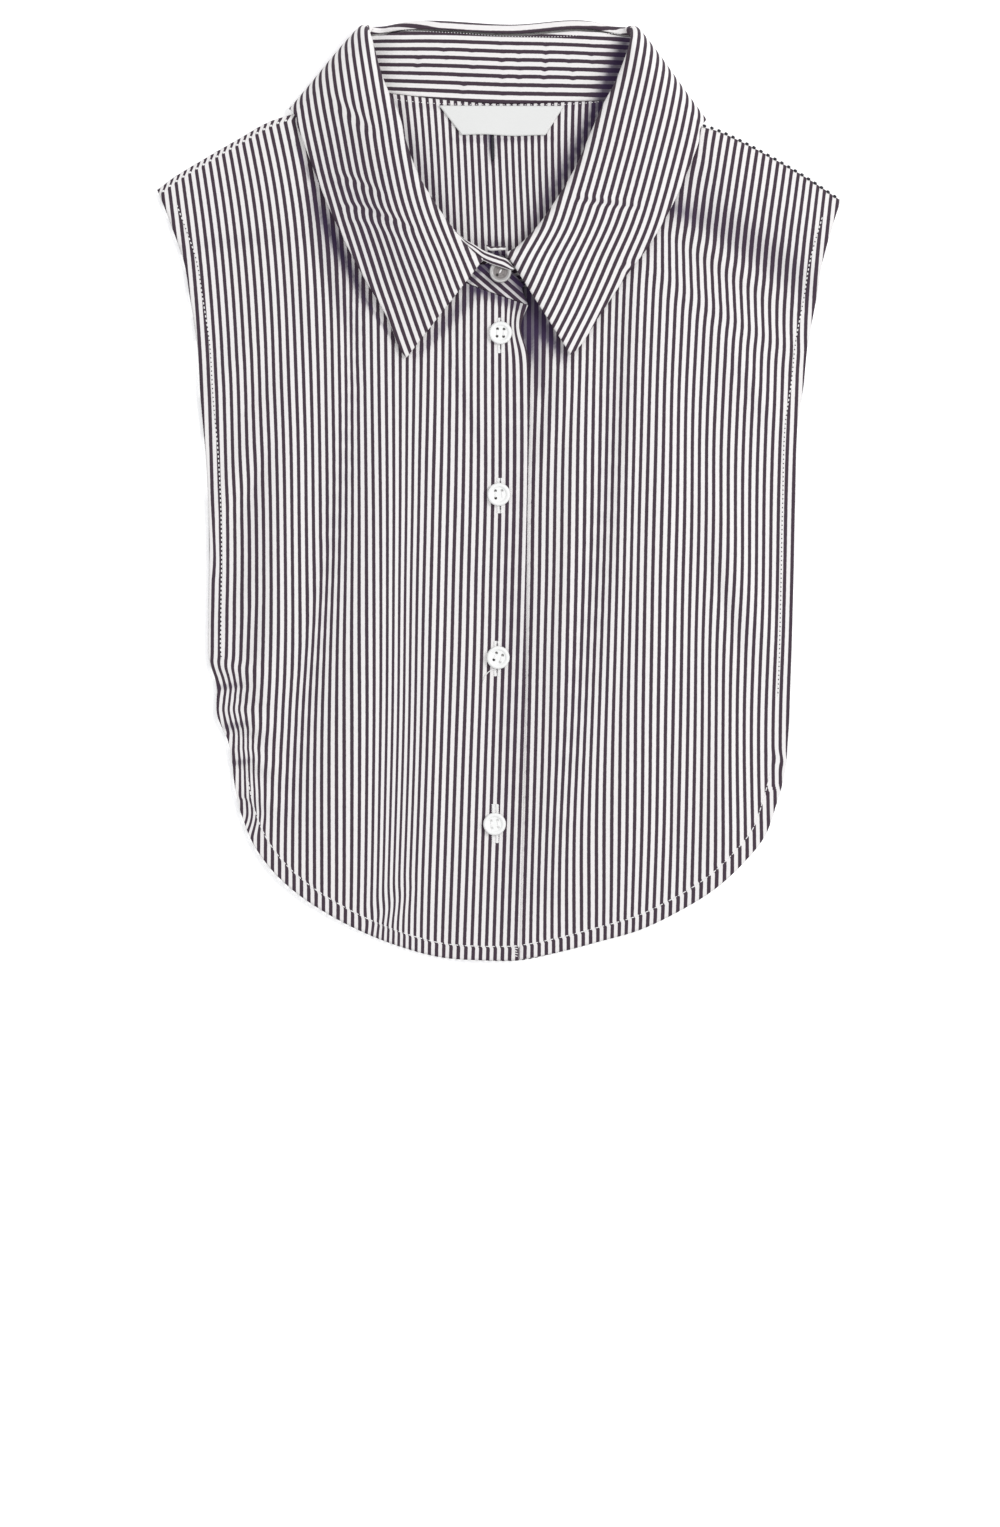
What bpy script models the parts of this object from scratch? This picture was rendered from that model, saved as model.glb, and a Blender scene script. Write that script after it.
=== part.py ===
"""A striped cotton dickey collar, buttoned up and laid flat on its back.

Every size is in millimetres and becomes metres when a mesh is made. +Y runs from the hem to the collar,
+X to the right of someone looking down at it, and the back panel lies on z = 0. Left and right are that
looker's. The wearer's right front is the left one here, and it laps over the other.
"""

import math

import bmesh
import bpy
import numpy as np
from mathutils import Vector

MM = 0.001

# Cloth
WALL = 1.0
FALL_WALL = 1.2
HEM_WALL = 1.5
SEAM_GAP = 0.7
FOLD_GAP = 1.3
LAYER_GAP = 0.4
LAP_STEP = 1.45
FALL_CLEARANCE = 1.0

# The back rises over the part of the collar that is folded under it
RISE = FALL_WALL + LAYER_GAP
RISE_EDGE_Y = 177.5
RISE_SLOPE = -0.03
RISE_RAMP = (24.0, 4.0)
RISE_ENDS_X = (101.0, 125.0)

# The over front steps up across this strip to lie on the under front
LAP_RAMP_X = (-27.0, -16.0)
PLACKET_CALM_X = (12.0, 34.0)

# Outlines, each a smooth line through points (x, y)
LEFT_SHOULDER = [
    (-162.5, 143.0),
    (-156.0, 148.0),
    (-140.5, 157.6),
    (-124.3, 167.0),
    (-107.0, 176.4),
    (-99.5, 178.7),
    (-92.0, 182.4),
    (-78.0, 191.8),
]
RIGHT_SHOULDER = [
    (162.5, 138.0),
    (147.5, 148.0),
    (131.5, 157.4),
    (113.5, 166.8),
    (104.0, 171.0),
    (96.5, 173.2),
    (90.0, 176.5),
    (77.6, 185.0),
]
LEFT_SIDE = [
    (-162.5, 143.0),
    (-159.5, 135.5),
    (-155.0, 123.5),
    (-150.0, 109.0),
    (-147.0, 91.0),
    (-144.0, 72.0),
    (-142.0, 43.5),
    (-139.5, 15.0),
    (-138.0, -23.5),
    (-138.3, -61.5),
    (-138.0, -80.0),
    (-134.6, -92.0),
    (-134.0, -107.0),
    (-129.2, -118.5),
    (-127.0, -128.0),
    (-126.2, -137.5),
    (-123.0, -153.0),
]
RIGHT_SIDE = [
    (162.5, 138.0),
    (158.5, 125.0),
    (154.0, 109.0),
    (151.0, 91.0),
    (147.0, 69.5),
    (145.0, 50.5),
    (142.5, 34.0),
    (141.0, -4.5),
    (140.0, -52.0),
    (139.0, -90.0),
    (137.5, -118.5),
    (136.0, -135.0),
    (132.5, -148.0),
]
LEFT_HEM = [
    (9.5, -223.5),
    (-9.0, -223.5),
    (-28.0, -222.0),
    (-47.0, -217.0),
    (-66.0, -209.5),
    (-83.0, -200.5),
    (-97.0, -191.0),
    (-109.0, -179.5),
    (-117.5, -167.0),
    (-123.0, -153.0),
]
RIGHT_HEM = [
    (-14.0, -222.6),
    (10.0, -223.0),
    (29.0, -219.5),
    (48.0, -214.5),
    (67.0, -209.0),
    (85.0, -200.5),
    (103.5, -189.0),
    (116.5, -177.0),
    (126.5, -164.5),
    (132.5, -148.0),
]
OVER_EDGE = [
    (14.2, 87.2),
    (10.5, 79.0),
    (13.6, 65.0),
    (14.3, 50.0),
    (13.4, -4.5),
    (12.5, -99.5),
    (9.5, -223.5),
]
UNDER_EDGE = [(-12.9, 87.2), (-13.0, 0.0), (-13.5, -110.0), (-14.0, -222.6)]

# Folds that stand up from the fronts, each a ridge from start by way of middle to end, with its half width and
# its height
FOLDS = {
    "left of the long left hollow": ((-97, 60), (-104, -35), (-113, -105), 10, 2.4),
    "right of the long left hollow": ((-52, 35), (-58, -60), (-80, -175), 12, 2.2),
    "left hollow lip": ((-74, 105), (-77, 40), (-80, -20), 5, 1.1),
    "left of the placket": ((-33, 60), (-32, -80), (-30, -190), 9, 1.1),
    "pull to the second button": ((-30, 72), (-22, 42), (-14, 16), 4, 1.0),
    "pull to the third button": ((-30, 20), (-24, -20), (-14, -58), 5, 0.9),
    "right pull to the second button": ((36, 62), (28, 38), (20, 16), 4, 1.0),
    "left of the long right hollow": ((40, 35), (34, -60), (20, -185), 8, 2.0),
    "right of the long right hollow": ((76, 75), (82, -40), (55, -195), 13, 2.3),
    "right hollow lip": ((67, 92), (63, 20), (52, -90), 5, 1.2),
    "under the right shoulder": ((92, 118), (118, 106), (146, 84), 6, 2.0),
    "over the right shoulder": ((98, 148), (122, 142), (150, 122), 9, 1.4),
    "right armhole, high": ((105, 70), (117, 50), (132, 30), 7, 1.5),
    "right armhole, middle": ((100, 0), (110, -45), (128, -75), 8, 1.6),
    "right armhole, low": ((108, -112), (112, -150), (100, -178), 8, 1.5),
    "left shoulder crease": ((-152, 118), (-125, 122), (-104, 122), 4, 1.0),
    "left armhole, high": ((-116, 70), (-128, 58), (-139, 45), 7, 1.6),
    "left armhole, middle": ((-112, 30), (-122, 10), (-135, -8), 7, 1.7),
    "left armhole, low": ((-112, -40), (-122, -55), (-134, -68), 6, 1.4),
    "left edge ruffle 1": ((-112, -90), (-122, -86), (-134, -83), 5, 2.2),
    "left edge ruffle 2": ((-108, -114), (-120, -110), (-131, -108), 5, 2.4),
    "left edge ruffle 3": ((-106, -132), (-116, -128), (-127, -125), 4, 2.2),
    "left edge ruffle 4": ((-104, -150), (-114, -146), (-125, -142), 4, 1.8),
    "left neck point": ((-76, 196), (-76, 190), (-78, 180), 9, 0.9),
    "right neck point": ((76, 190), (76, 184), (78, 174), 9, 0.9),
}

# The collar, a row for each section from the over tab round the back of the neck to the under tab.
# rim is the top of the fold, core_z the height of the fold's middle line, edge the fall's outer edge and seam
# the stand's lower edge. turn is the way its outer side faces, in degrees: 0 up, 90 out to the side, 180 down,
# 270 out to the other side, 360 up. layer is 1 on the fronts and 0 on the back. roll_out and roll_up are the
# fold's half depth and half thickness. lap is 1 where the collar lies on the over front and 0 where it lies on
# the under one, and steps is the number of faces up to the next row.
COLLAR_COLUMNS = (
    "rim_x rim_y core_z edge_x edge_y seam_x seam_y turn layer roll_out roll_up lap steps".split()
)
COLLAR_ROWS = {
    "over tab end": (12.6, 99.0, 5.8, -24.0, 52.0, 13.8, 88.6, 0, 1, 0.0, 0.0, 1, 1),
    "over tab": (6.5, 106.0, 6.2, -30.0, 58.5, 7.0, 91.0, 0, 1, 0.0, 0.0, 1, 1),
    "over tab root": (-1.0, 109.8, 6.3, -37.5, 62.0, -3.5, 94.6, 0, 1, 0.0, 0.0, 1, 2),
    "left end": (-7.5, 110.5, 8.4, -44.0, 63.5, -14.0, 98.6, 0, 1, 2.0, 2.0, 1, 2),
    "left 1": (-18.5, 120.5, 9.0, -53.5, 83.0, -28.5, 104.5, 0, 1, 2.6, 2.2, 1, 2),
    "left 2": (-29.5, 135.0, 9.3, -64.5, 102.0, -44.0, 115.0, 0, 1, 3.0, 2.4, 1, 2),
    "left 3": (-39.0, 151.0, 9.5, -73.5, 119.0, -57.5, 130.5, 0, 1, 3.4, 2.4, 1, 2),
    "left 4": (-44.5, 166.0, 9.7, -82.5, 138.5, -66.0, 149.0, 0, 1, 3.6, 2.4, 1, 2),
    "left 5": (-48.5, 180.5, 10.1, -90.5, 159.0, -71.0, 167.0, 0, 1, 3.8, 2.4, 1, 2),
    "left 6": (-56.0, 197.5, 10.4, -95.8, 173.5, -73.4, 181.0, 0, 1, 3.8, 2.4, 1, 2),
    "left front corner": (-61.6, 217.4, 10.6, -97.5, 179.5, -75.2, 189.6, 0, 1, 3.8, 2.4, 1, 3),
    "left corner": (-63.0, 221.0, 6.8, -100.2, 182.8, -76.4, 191.9, 90, 0.5, 3.8, 2.4, 1, 3),
    "left back corner": (-60.0, 220.6, 3.0, -96.0, 180.3, -73.2, 191.9, 180, 0, 3.8, 2.4, 1, 2),
    "back left": (-42.0, 223.2, 3.0, -66.0, 178.6, -52.0, 189.4, 180, 0, 3.8, 2.4, 1, 3),
    "back centre": (6.0, 221.6, 3.0, 0.0, 177.6, -1.0, 184.6, 180, 0, 3.8, 2.4, 1, 3),
    "back right": (42.0, 223.4, 3.0, 64.0, 175.6, 50.0, 186.0, 180, 0, 3.8, 2.4, 1, 2),
    "right back corner": (60.0, 220.4, 3.0, 94.8, 174.4, 72.4, 186.4, 180, 0, 3.8, 2.4, 1, 3),
    "right corner": (62.9, 220.6, 6.8, 98.4, 176.8, 75.8, 185.6, 270, 0.5, 3.8, 2.4, 1, 3),
    "right front corner": (63.2, 216.8, 10.6, 96.2, 174.0, 74.2, 183.0, 360, 1, 3.8, 2.4, 1, 2),
    "right 6": (57.0, 197.5, 10.4, 95.0, 166.0, 72.4, 175.5, 360, 1, 3.8, 2.4, 1, 2),
    "right 5": (50.0, 184.0, 10.1, 90.5, 154.0, 69.5, 163.0, 360, 1, 3.8, 2.4, 1, 2),
    "right 4": (44.5, 171.5, 9.6, 82.5, 136.0, 63.5, 146.5, 360, 1, 3.6, 2.4, 1, 2),
    "right 3": (36.8, 154.0, 9.4, 71.5, 117.0, 54.0, 129.5, 360, 1, 3.4, 2.4, 1, 2),
    "right 2": (28.5, 140.0, 9.1, 61.0, 103.0, 42.0, 115.5, 360, 1, 3.0, 2.5, 0, 2),
    "right 1": (17.0, 124.0, 8.2, 49.5, 86.0, 27.5, 104.5, 360, 1, 2.6, 2.7, 0, 2),
    "right end": (3.5, 113.5, 7.3, 34.0, 65.0, 11.5, 97.0, 360, 1, 2.0, 2.8, 0, 2),
    "under tab": (-3.5, 114.5, 3.7, 27.0, 66.0, -2.0, 93.0, 360, 1, 0.0, 0.0, 0, 1),
    "under tab end": (-10.5, 110.0, 3.1, 20.0, 61.5, -12.4, 88.6, 360, 1, 0.0, 0.0, 0, 1),
}
ROW_NAMES = list(COLLAR_ROWS)
COLLAR = {name: np.array(column, float) for name, column in zip(COLLAR_COLUMNS, zip(*COLLAR_ROWS.values()))}

# How far the ends of a cross section's curve run straight, as shares of its length, and how much of the fall's
# end leans down to its edge
FALL_START_PULL = 0.35
FALL_EDGE_PULL = 0.4
FALL_EDGE_LEAN = 0.6
STAND_TOP_PULL = 0.35
STAND_SEAM_PULL = 0.3

# A fold's ridge fades in and out as half a wave, which starts and stops this share of the wave inside its ends
RIDGE_END_SHARE = 0.05

# Points on the smooth lines that the grids are read from
RIDGE_POINTS = 25
NECK_POINTS = 160
OUTLINE_POINTS_EACH = 20

# The under front is hidden as far as this, so its hem is plain there
UNDER_HIDDEN_X = 16.2

# Faces of each grid: across, and down or from rim to edge
FRONT_NECK_FACES = 14
FRONT_SHOULDER_FACES = 8
FRONT_DOWN_FACES = 44
BACK_SHOULDER_FACES = 6
BACK_NECK_FACES = 12
BACK_DOWN_FACES = 16
BACK_TOP_CROWDING = 0.75
ROLL_FACES = 5
FALL_FACES = 6
STAND_FACES = 4

# Label, corners from top left, clockwise
LABEL_CORNERS = [(-28.0, 182.0), (28.6, 181.0), (23.3, 169.5), (-19.0, 169.5)]
LABEL_WALL = 1.0
LABEL_GAP = 0.5
LABEL_ACROSS_FACES = 8
LABEL_DOWN_FACES = 3

# Buttons: a disc with a raised rim, a dish with four holes in it, a rounded shoulder and a narrower foot
BUTTON_RADIUS = 5.6
BUTTON_HEIGHT = 2.4
BUTTON_DISH = 0.9
BUTTON_DISH_RADIUS = 3.9
BUTTON_DISH_FLAT = 3.12
BUTTON_DISH_LIP = 0.2
BUTTON_SHOULDER = 0.7
BUTTON_FOOT_IN = 1.2
BUTTON_FOOT_HEIGHT = 0.9
BUTTON_HOLES = 4
BUTTON_HOLE_RADIUS = 0.65
BUTTON_HOLE_OUT = 1.45
BUTTON_GAP = 0.35
BUTTON_STEPS = 20
MERGE_DISTANCE = 0.01
DRILL_SIDES = 6
DRILL_LENGTH = 9.6
FRONT_BUTTONS = [(0.7, 74.9), (-0.1, -1.9), (-0.4, -79.3), (-2.1, -158.6)]
STAND_BUTTON = (0.9, 103.4)
STAND_BUTTON_RADIUS = 5.2
STAND_BUTTON_GAP = 0.7
STAND_PROBE_FACES = 40

# Finishes: colour as linear RGB, and roughness
SHIRTING = ((0.36, 0.33, 0.35), 0.85)
COLLAR_SHIRTING = ((0.36, 0.33, 0.35), 0.8)
LABEL_WHITE = ((0.84, 0.83, 0.82), 0.7)
BUTTON_WHITE = ((0.82, 0.81, 0.79), 0.3)
BUTTON_GREY = ((0.42, 0.39, 0.38), 0.3)


def smoothstep(value, low, high):
    """0 below low, 1 above high, with an even S between them."""
    t = np.clip((value - low) / (high - low), 0, 1)
    return t * t * (3 - 2 * t)


def spline(knots, values, at):
    """Cubic Hermite curve through values at knots, its slope at each knot the chord across its neighbours."""
    values = np.asarray(values, float)
    slopes = np.gradient(values, knots, axis=0)
    i = np.clip(np.searchsorted(knots, at, side="right") - 1, 0, len(knots) - 2)
    width = knots[i + 1] - knots[i]
    t = (at - knots[i]) / width
    if values.ndim > 1:
        t, width = t[:, None], width[:, None]
    start, end = values[i], values[i + 1]
    first, last = slopes[i] * width, slopes[i + 1] * width
    rise = t * t * (3 - 2 * t)
    return start + (end - start) * rise + first * t * (1 - t) ** 2 - last * t * t * (1 - t)


def distances(points):
    """Length along a line of points up to each one."""
    return np.concatenate([[0], np.cumsum(np.linalg.norm(np.diff(points, axis=0), axis=1))])


def along(points, faces, crowding=0.0):
    """faces + 1 points on the smooth line through the given ones, closer at its start where crowding is near 1."""
    points = np.asarray(points, float)
    knots = distances(points)
    fine = spline(knots, points, np.linspace(0, knots[-1], OUTLINE_POINTS_EACH * len(points)))
    return resampled(fine, faces, crowding)


def resampled(points, faces, crowding=0.0):
    """The same line with faces + 1 points, evenly spaced or drawn towards its start."""
    length = distances(points)
    share = np.linspace(0, 1, faces + 1)
    share = (1 - crowding) * share + crowding * share**3
    at = share * length[-1]
    return np.stack([np.interp(at, length, points[:, k]) for k in range(points.shape[1])], axis=1)


def patch(bottom, top, left, right):
    """A grid (rows up, columns across) between four edges: both ways of joining them less the corners' blend."""
    u = distances(top) / distances(top)[-1]
    v = distances(left) / distances(left)[-1]
    u, v = u[None, :, None], v[:, None, None]
    across = (1 - u) * left[:, None] + u * right[:, None]
    upward = (1 - v) * bottom[None] + v * top[None]
    corners = (
        (1 - u) * (1 - v) * bottom[0]
        + u * (1 - v) * bottom[-1]
        + (1 - u) * v * top[0]
        + u * v * top[-1]
    )
    return across + upward - corners


def rise(x, y):
    """How far the panels lift over the collar folded under them."""
    edge = RISE_EDGE_Y + RISE_SLOPE * x
    over_fall = smoothstep(-np.abs(x), -RISE_ENDS_X[1], -RISE_ENDS_X[0])
    return RISE * over_fall * smoothstep(y, edge - RISE_RAMP[0], edge - RISE_RAMP[1])


def relief(x, y):
    """Height of the fronts' folds: each ridge is a bell across its path, fading out at both ends."""
    x, y = np.broadcast_arrays(np.asarray(x, float), np.asarray(y, float))
    t = np.linspace(0, 1, RIDGE_POINTS)[:, None]
    height = np.zeros(x.shape)
    for start, middle, end, width, top in FOLDS.values():
        path = (1 - t) ** 2 * np.array(start) + 2 * t * (1 - t) * np.array(middle) + t * t * np.array(end)
        gap = np.hypot(x[..., None] - path[:, 0], y[..., None] - path[:, 1])
        near = gap.argmin(axis=-1)
        fade = np.sqrt(np.sin(np.pi * (RIDGE_END_SHARE + (1 - 2 * RIDGE_END_SHARE) * t[near, 0])))
        height += top * fade * np.exp(-((gap.min(axis=-1) / width) ** 2))
    return height * smoothstep(np.abs(x), *PLACKET_CALM_X)


def lap(x):
    """How far the over front lies above the under front's level."""
    return LAP_STEP * smoothstep(x, *LAP_RAMP_X)


def back_z(x, y):
    """Height of the back panel's underside."""
    return rise(x, y)


def front_z(x, y, over):
    """Height of a front's underside. over is 1 for the front that laps over, 0 for the other."""
    return WALL + LAYER_GAP + rise(x, y) + relief(x, y) + over * lap(x) * (np.abs(x) < PLACKET_CALM_X[1])


def unit(vectors):
    return vectors / np.linalg.norm(vectors, axis=-1, keepdims=True)


def collar_row(name):
    return float(ROW_NAMES.index(name))


def collar_frame(rows):
    """The collar's lines at fractional row numbers.

    They are its core, the ways up to the rim and out to the outer side, its edge, its seam and the roll's size."""
    c = COLLAR
    spacing_columns = ("rim_x", "rim_y", "core_z", "edge_x", "edge_y", "seam_x", "seam_y")
    marks = np.stack([c[k] for k in spacing_columns], axis=1)
    knots = distances(marks)
    at = np.interp(rows, np.arange(len(knots)), knots)
    line = {name: spline(knots, c[name], at) for name in COLLAR_COLUMNS}
    flat = np.zeros(len(at))
    up = unit(np.stack([line["rim_x"] - line["edge_x"], line["rim_y"] - line["edge_y"], flat], axis=1))
    side = np.stack([-up[:, 1], up[:, 0], flat], axis=1)
    turn = np.radians(np.interp(rows, np.arange(len(knots)), c["turn"]))[:, None]
    out = np.cos(turn) * np.array([0, 0, 1.0]) + np.sin(turn) * side
    rim = np.stack([line["rim_x"], line["rim_y"], line["core_z"]], axis=1)
    core = rim - line["roll_out"][:, None] * up
    layer = np.clip(line["layer"], 0, 1)
    over = np.clip(np.round(line["lap"]), 0, 1)
    edge_z = layer * (front_z(line["edge_x"], line["edge_y"], over) + WALL + FALL_CLEARANCE) + FALL_WALL / 2
    seam_z = WALL / 2 + (
        layer * front_z(line["seam_x"], line["seam_y"], over)
        + (1 - layer) * back_z(line["seam_x"], line["seam_y"])
    )
    edge = np.stack([line["edge_x"], line["edge_y"], edge_z], axis=1)
    seam = np.stack([line["seam_x"], line["seam_y"], seam_z], axis=1)
    return core, up, out, edge, seam, line["roll_out"][:, None], line["roll_up"][:, None]


def bezier(points, t):
    """Cubic curve of four control points, each an array of sections, at every t."""
    a, b, c, d = (p[None] for p in points)
    t = t[:, None, None]
    return (1 - t) ** 3 * a + 3 * t * (1 - t) ** 2 * b + 3 * t * t * (1 - t) * c + t**3 * d


def collar_columns(first, last):
    """Fractional row numbers of the sections, each interval divided into its own number of steps."""
    rows = [collar_row(first)]
    for i in range(int(collar_row(first)), int(collar_row(last))):
        steps = int(COLLAR["steps"][i])
        rows += [i + (k + 1) / steps for k in range(steps)]
    return np.array(rows)


def fall_surface(rows, roll_faces, fall_faces):
    """The turned-down collar: half an oval over the stand's top, then a soft curve down to its edge."""
    core, up, out, edge, _, roll_out, roll_up = collar_frame(rows)
    angle = np.linspace(-0.5, 0.5, roll_faces + 1)[:, None, None] * math.pi
    roll = core[None] + np.sin(angle) * (roll_up * out)[None] + np.cos(angle) * (roll_out * up)[None]
    start = core + roll_up * out
    length = np.linalg.norm(edge - start, axis=1, keepdims=True)
    lean = (edge - start) / length
    flat_lean = unit(lean - (lean * out).sum(axis=1, keepdims=True) * out)
    t = np.linspace(0, 1, fall_faces + 1)[1:]
    leaving = start - FALL_START_PULL * length * up
    arriving = edge - FALL_EDGE_PULL * length * (FALL_EDGE_LEAN * lean + (1 - FALL_EDGE_LEAN) * flat_lean)
    fall = bezier([start, leaving, arriving, edge], t)
    points = np.concatenate([roll, fall])
    points[..., 2] = np.maximum(points[..., 2], FALL_WALL / 2)
    return points


def stand_surface(rows, faces):
    """The stand: from just under the fold's inner end down to the neck seam, which it meets level."""
    core, up, out, _, seam, _, roll_up = collar_frame(rows)
    top = core - roll_up * out - FOLD_GAP * up
    length = np.linalg.norm(top - seam, axis=1, keepdims=True)
    level = top - seam
    level[:, 2] = 0
    t = np.linspace(0, 1, faces + 1)
    leaving = top - STAND_TOP_PULL * length * up
    arriving = seam + STAND_SEAM_PULL * length * unit(level)
    return bezier([top, leaving, arriving, seam], t)


def neck_line(first, last, faces):
    """A panel's neck edge in plan: the stand's lower edge moved off by the seam gap."""
    rows = np.linspace(collar_row(first), collar_row(last), NECK_POINTS)
    core, _, _, _, seam, _, _ = collar_frame(rows)
    away = seam[:, :2] - core[:, :2]
    return resampled(seam[:, :2] + SEAM_GAP * unit(away), faces)


def front_plan(over):
    """A front's grid in plan, hem to top, left to right."""
    if over:
        neck = neck_line("over tab end", "left corner", FRONT_NECK_FACES)[::-1]
        shoulder, side, hem, edge = LEFT_SHOULDER, LEFT_SIDE, LEFT_HEM, OVER_EDGE
    else:
        neck = neck_line("right corner", "under tab end", FRONT_NECK_FACES)
        shoulder, side, hem, edge = RIGHT_SHOULDER, RIGHT_SIDE, RIGHT_HEM, UNDER_EDGE
    shoulder_line = along(shoulder[:-1] + [tuple(neck[0])], FRONT_SHOULDER_FACES)
    side_line = along(side, FRONT_DOWN_FACES)[::-1]
    placket = along([tuple(neck[-1])] + edge[1:], FRONT_DOWN_FACES)[::-1]
    hem_line = along(hem, FRONT_NECK_FACES + FRONT_SHOULDER_FACES)
    if over:
        top = np.concatenate([shoulder_line, neck[1:]])
        return patch(hem_line[::-1], top, side_line, placket)
    top = np.concatenate([shoulder_line, neck[1:]])[::-1]
    return patch(hem_line, top, placket, side_line)


def back_plan():
    """The back's grid in plan, hem to top, left to right."""
    neck = neck_line("left corner", "right corner", BACK_NECK_FACES)
    left = along(LEFT_SHOULDER[:-1] + [tuple(neck[0])], BACK_SHOULDER_FACES)
    right = along(RIGHT_SHOULDER[:-1] + [tuple(neck[-1])], BACK_SHOULDER_FACES)[::-1]
    top = np.concatenate([left, neck[1:], right[1:]])
    hem = along(LEFT_HEM[::-1] + RIGHT_HEM[2:], len(top) - 1)
    left = along(LEFT_SIDE, BACK_DOWN_FACES, BACK_TOP_CROWDING)[::-1]
    right = along(RIGHT_SIDE, BACK_DOWN_FACES, BACK_TOP_CROWDING)[::-1]
    return patch(hem, top, left, right)


def material(name, finish):
    colour, roughness = finish
    made = bpy.data.materials.new(name)
    made.use_nodes = True
    surface = made.node_tree.nodes["Principled BSDF"]
    surface.inputs["Base Color"].default_value = (*colour, 1.0)
    surface.inputs["Roughness"].default_value = roughness
    return made


def placed(mesh, name, collection, finish):
    mesh.materials.append(finish)
    obj = bpy.data.objects.new(name, mesh)
    collection.objects.link(obj)
    return obj


def cloth(name, points, wall, collection, finish, offset=1.0, edge_share=None):
    """A sheet bent from a flat grid to points (rows, columns, xyz) and given its wall by Solidify.

    edge_share, where given, is the wall at each vertex as a share of the full one."""
    rows, columns = points.shape[:2]
    mesh = bpy.data.meshes.new(name)
    grid = bmesh.new()
    bmesh.ops.create_grid(grid, x_segments=columns - 1, y_segments=rows - 1, size=1.0)
    grid.to_mesh(mesh)
    grid.free()
    mesh.vertices.foreach_set("co", (points * MM).astype(np.float32).ravel())
    mesh.update()
    mesh.shade_smooth()
    obj = placed(mesh, name, collection, finish)
    solidify = obj.modifiers.new("Wall", "SOLIDIFY")
    solidify.thickness = wall * MM
    solidify.offset = offset
    solidify.use_even_offset = False
    if edge_share is not None:
        group = obj.vertex_groups.new(name="wall")
        for share in np.unique(edge_share):
            group.add(np.flatnonzero(edge_share.ravel() == share).tolist(), float(share), "REPLACE")
        solidify.vertex_group = group.name
    return obj


def make_back(collection, finish):
    plan = back_plan()
    z = back_z(plan[..., 0], plan[..., 1])
    return cloth("back", np.dstack([plan, z]), WALL, collection, finish)


def make_front(name, over, collection, finish):
    """A front lies on the back, its turned hem and armhole a little thicker than the rest."""
    plan = front_plan(over)
    z = front_z(plan[..., 0], plan[..., 1], float(over))
    share = np.full(z.shape, WALL / HEM_WALL)
    share[0, :] = 1.0
    share[:, 0 if over else -1] = 1.0
    if not over:
        share[plan[..., 0] < UNDER_HIDDEN_X] = WALL / HEM_WALL
    return cloth(name, np.dstack([plan, z]), HEM_WALL, collection, finish, edge_share=share)


def make_stand(collection, finish):
    rows = collar_columns("over tab end", "under tab end")
    points = stand_surface(rows, STAND_FACES)
    return cloth("collar_stand", points, WALL, collection, finish, offset=0.0)


def make_fall(collection, finish):
    rows = collar_columns("left end", "right end")
    points = fall_surface(rows, ROLL_FACES, FALL_FACES)
    return cloth("collar_fall", points, FALL_WALL, collection, finish, offset=0.0)


def make_label(collection, finish):
    """A slanted-sided patch lying on the back panel's inside."""
    top_left, top_right, bottom_right, bottom_left = (np.array(c) for c in LABEL_CORNERS)
    u = np.linspace(0, 1, LABEL_ACROSS_FACES + 1)[None, :, None]
    v = np.linspace(0, 1, LABEL_DOWN_FACES + 1)[:, None, None]
    plan = (1 - v) * ((1 - u) * bottom_left + u * bottom_right) + v * ((1 - u) * top_left + u * top_right)
    z = back_z(plan[..., 0], plan[..., 1]) + WALL + LABEL_GAP
    return cloth("label", np.dstack([plan, z]), LABEL_WALL, collection, finish)


def button_profile(radius):
    """Half outline from the middle of the top, down the outer side, to the middle of the underside."""
    scale = radius / BUTTON_RADIUS
    return [
        (0.0, BUTTON_HEIGHT - BUTTON_DISH),
        (BUTTON_DISH_FLAT * scale, BUTTON_HEIGHT - BUTTON_DISH),
        (BUTTON_DISH_RADIUS * scale, BUTTON_HEIGHT - BUTTON_DISH_LIP),
        (radius - BUTTON_SHOULDER, BUTTON_HEIGHT),
        (radius, BUTTON_HEIGHT - BUTTON_SHOULDER),
        (radius, BUTTON_FOOT_HEIGHT),
        (radius - BUTTON_FOOT_IN, 0.0),
        (0.0, 0.0),
    ]


def make_button(name, place, normal, radius, collection, cutters, finish):
    """A turned disc with a raised rim and four drilled holes, its axis along normal."""
    mesh = bpy.data.meshes.new(name)
    outline = bmesh.new()
    points = [outline.verts.new((x * MM, 0, z * MM)) for x, z in button_profile(radius)]
    for start, end in zip(points, points[1:]):
        outline.edges.new((start, end))
    outline.to_mesh(mesh)
    outline.free()
    button = placed(mesh, name, collection, finish)
    turn = button.modifiers.new("Turn", "SCREW")
    turn.steps = turn.render_steps = BUTTON_STEPS
    turn.use_merge_vertices = True
    turn.merge_threshold = MERGE_DISTANCE * MM
    drill = bpy.data.objects.new(name + "_drill", drill_mesh())
    drill.hide_render = True
    drill.display_type = "WIRE"
    cutters.objects.link(drill)
    drilled = button.modifiers.new("Holes", "BOOLEAN")
    drilled.operation = "DIFFERENCE"
    drilled.object = drill
    turned = normal.to_track_quat("Z", "Y").to_euler()
    for obj in (button, drill):
        obj.location = place
        obj.rotation_euler = turned
    return button


def drill_mesh():
    """Thin posts, one for each hole, set round the middle."""
    mesh = bpy.data.meshes.new("drill")
    posts = bmesh.new()
    for k in range(BUTTON_HOLES):
        angle = math.tau * (k + 0.5) / BUTTON_HOLES
        made = bmesh.ops.create_cone(
            posts,
            cap_ends=True,
            segments=DRILL_SIDES,
            radius1=BUTTON_HOLE_RADIUS * MM,
            radius2=BUTTON_HOLE_RADIUS * MM,
            depth=DRILL_LENGTH * MM,
        )
        out = BUTTON_HOLE_OUT * MM
        bmesh.ops.translate(posts, verts=made["verts"], vec=(out * math.cos(angle), out * math.sin(angle), 0))
    posts.to_mesh(mesh)
    posts.free()
    return mesh


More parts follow.
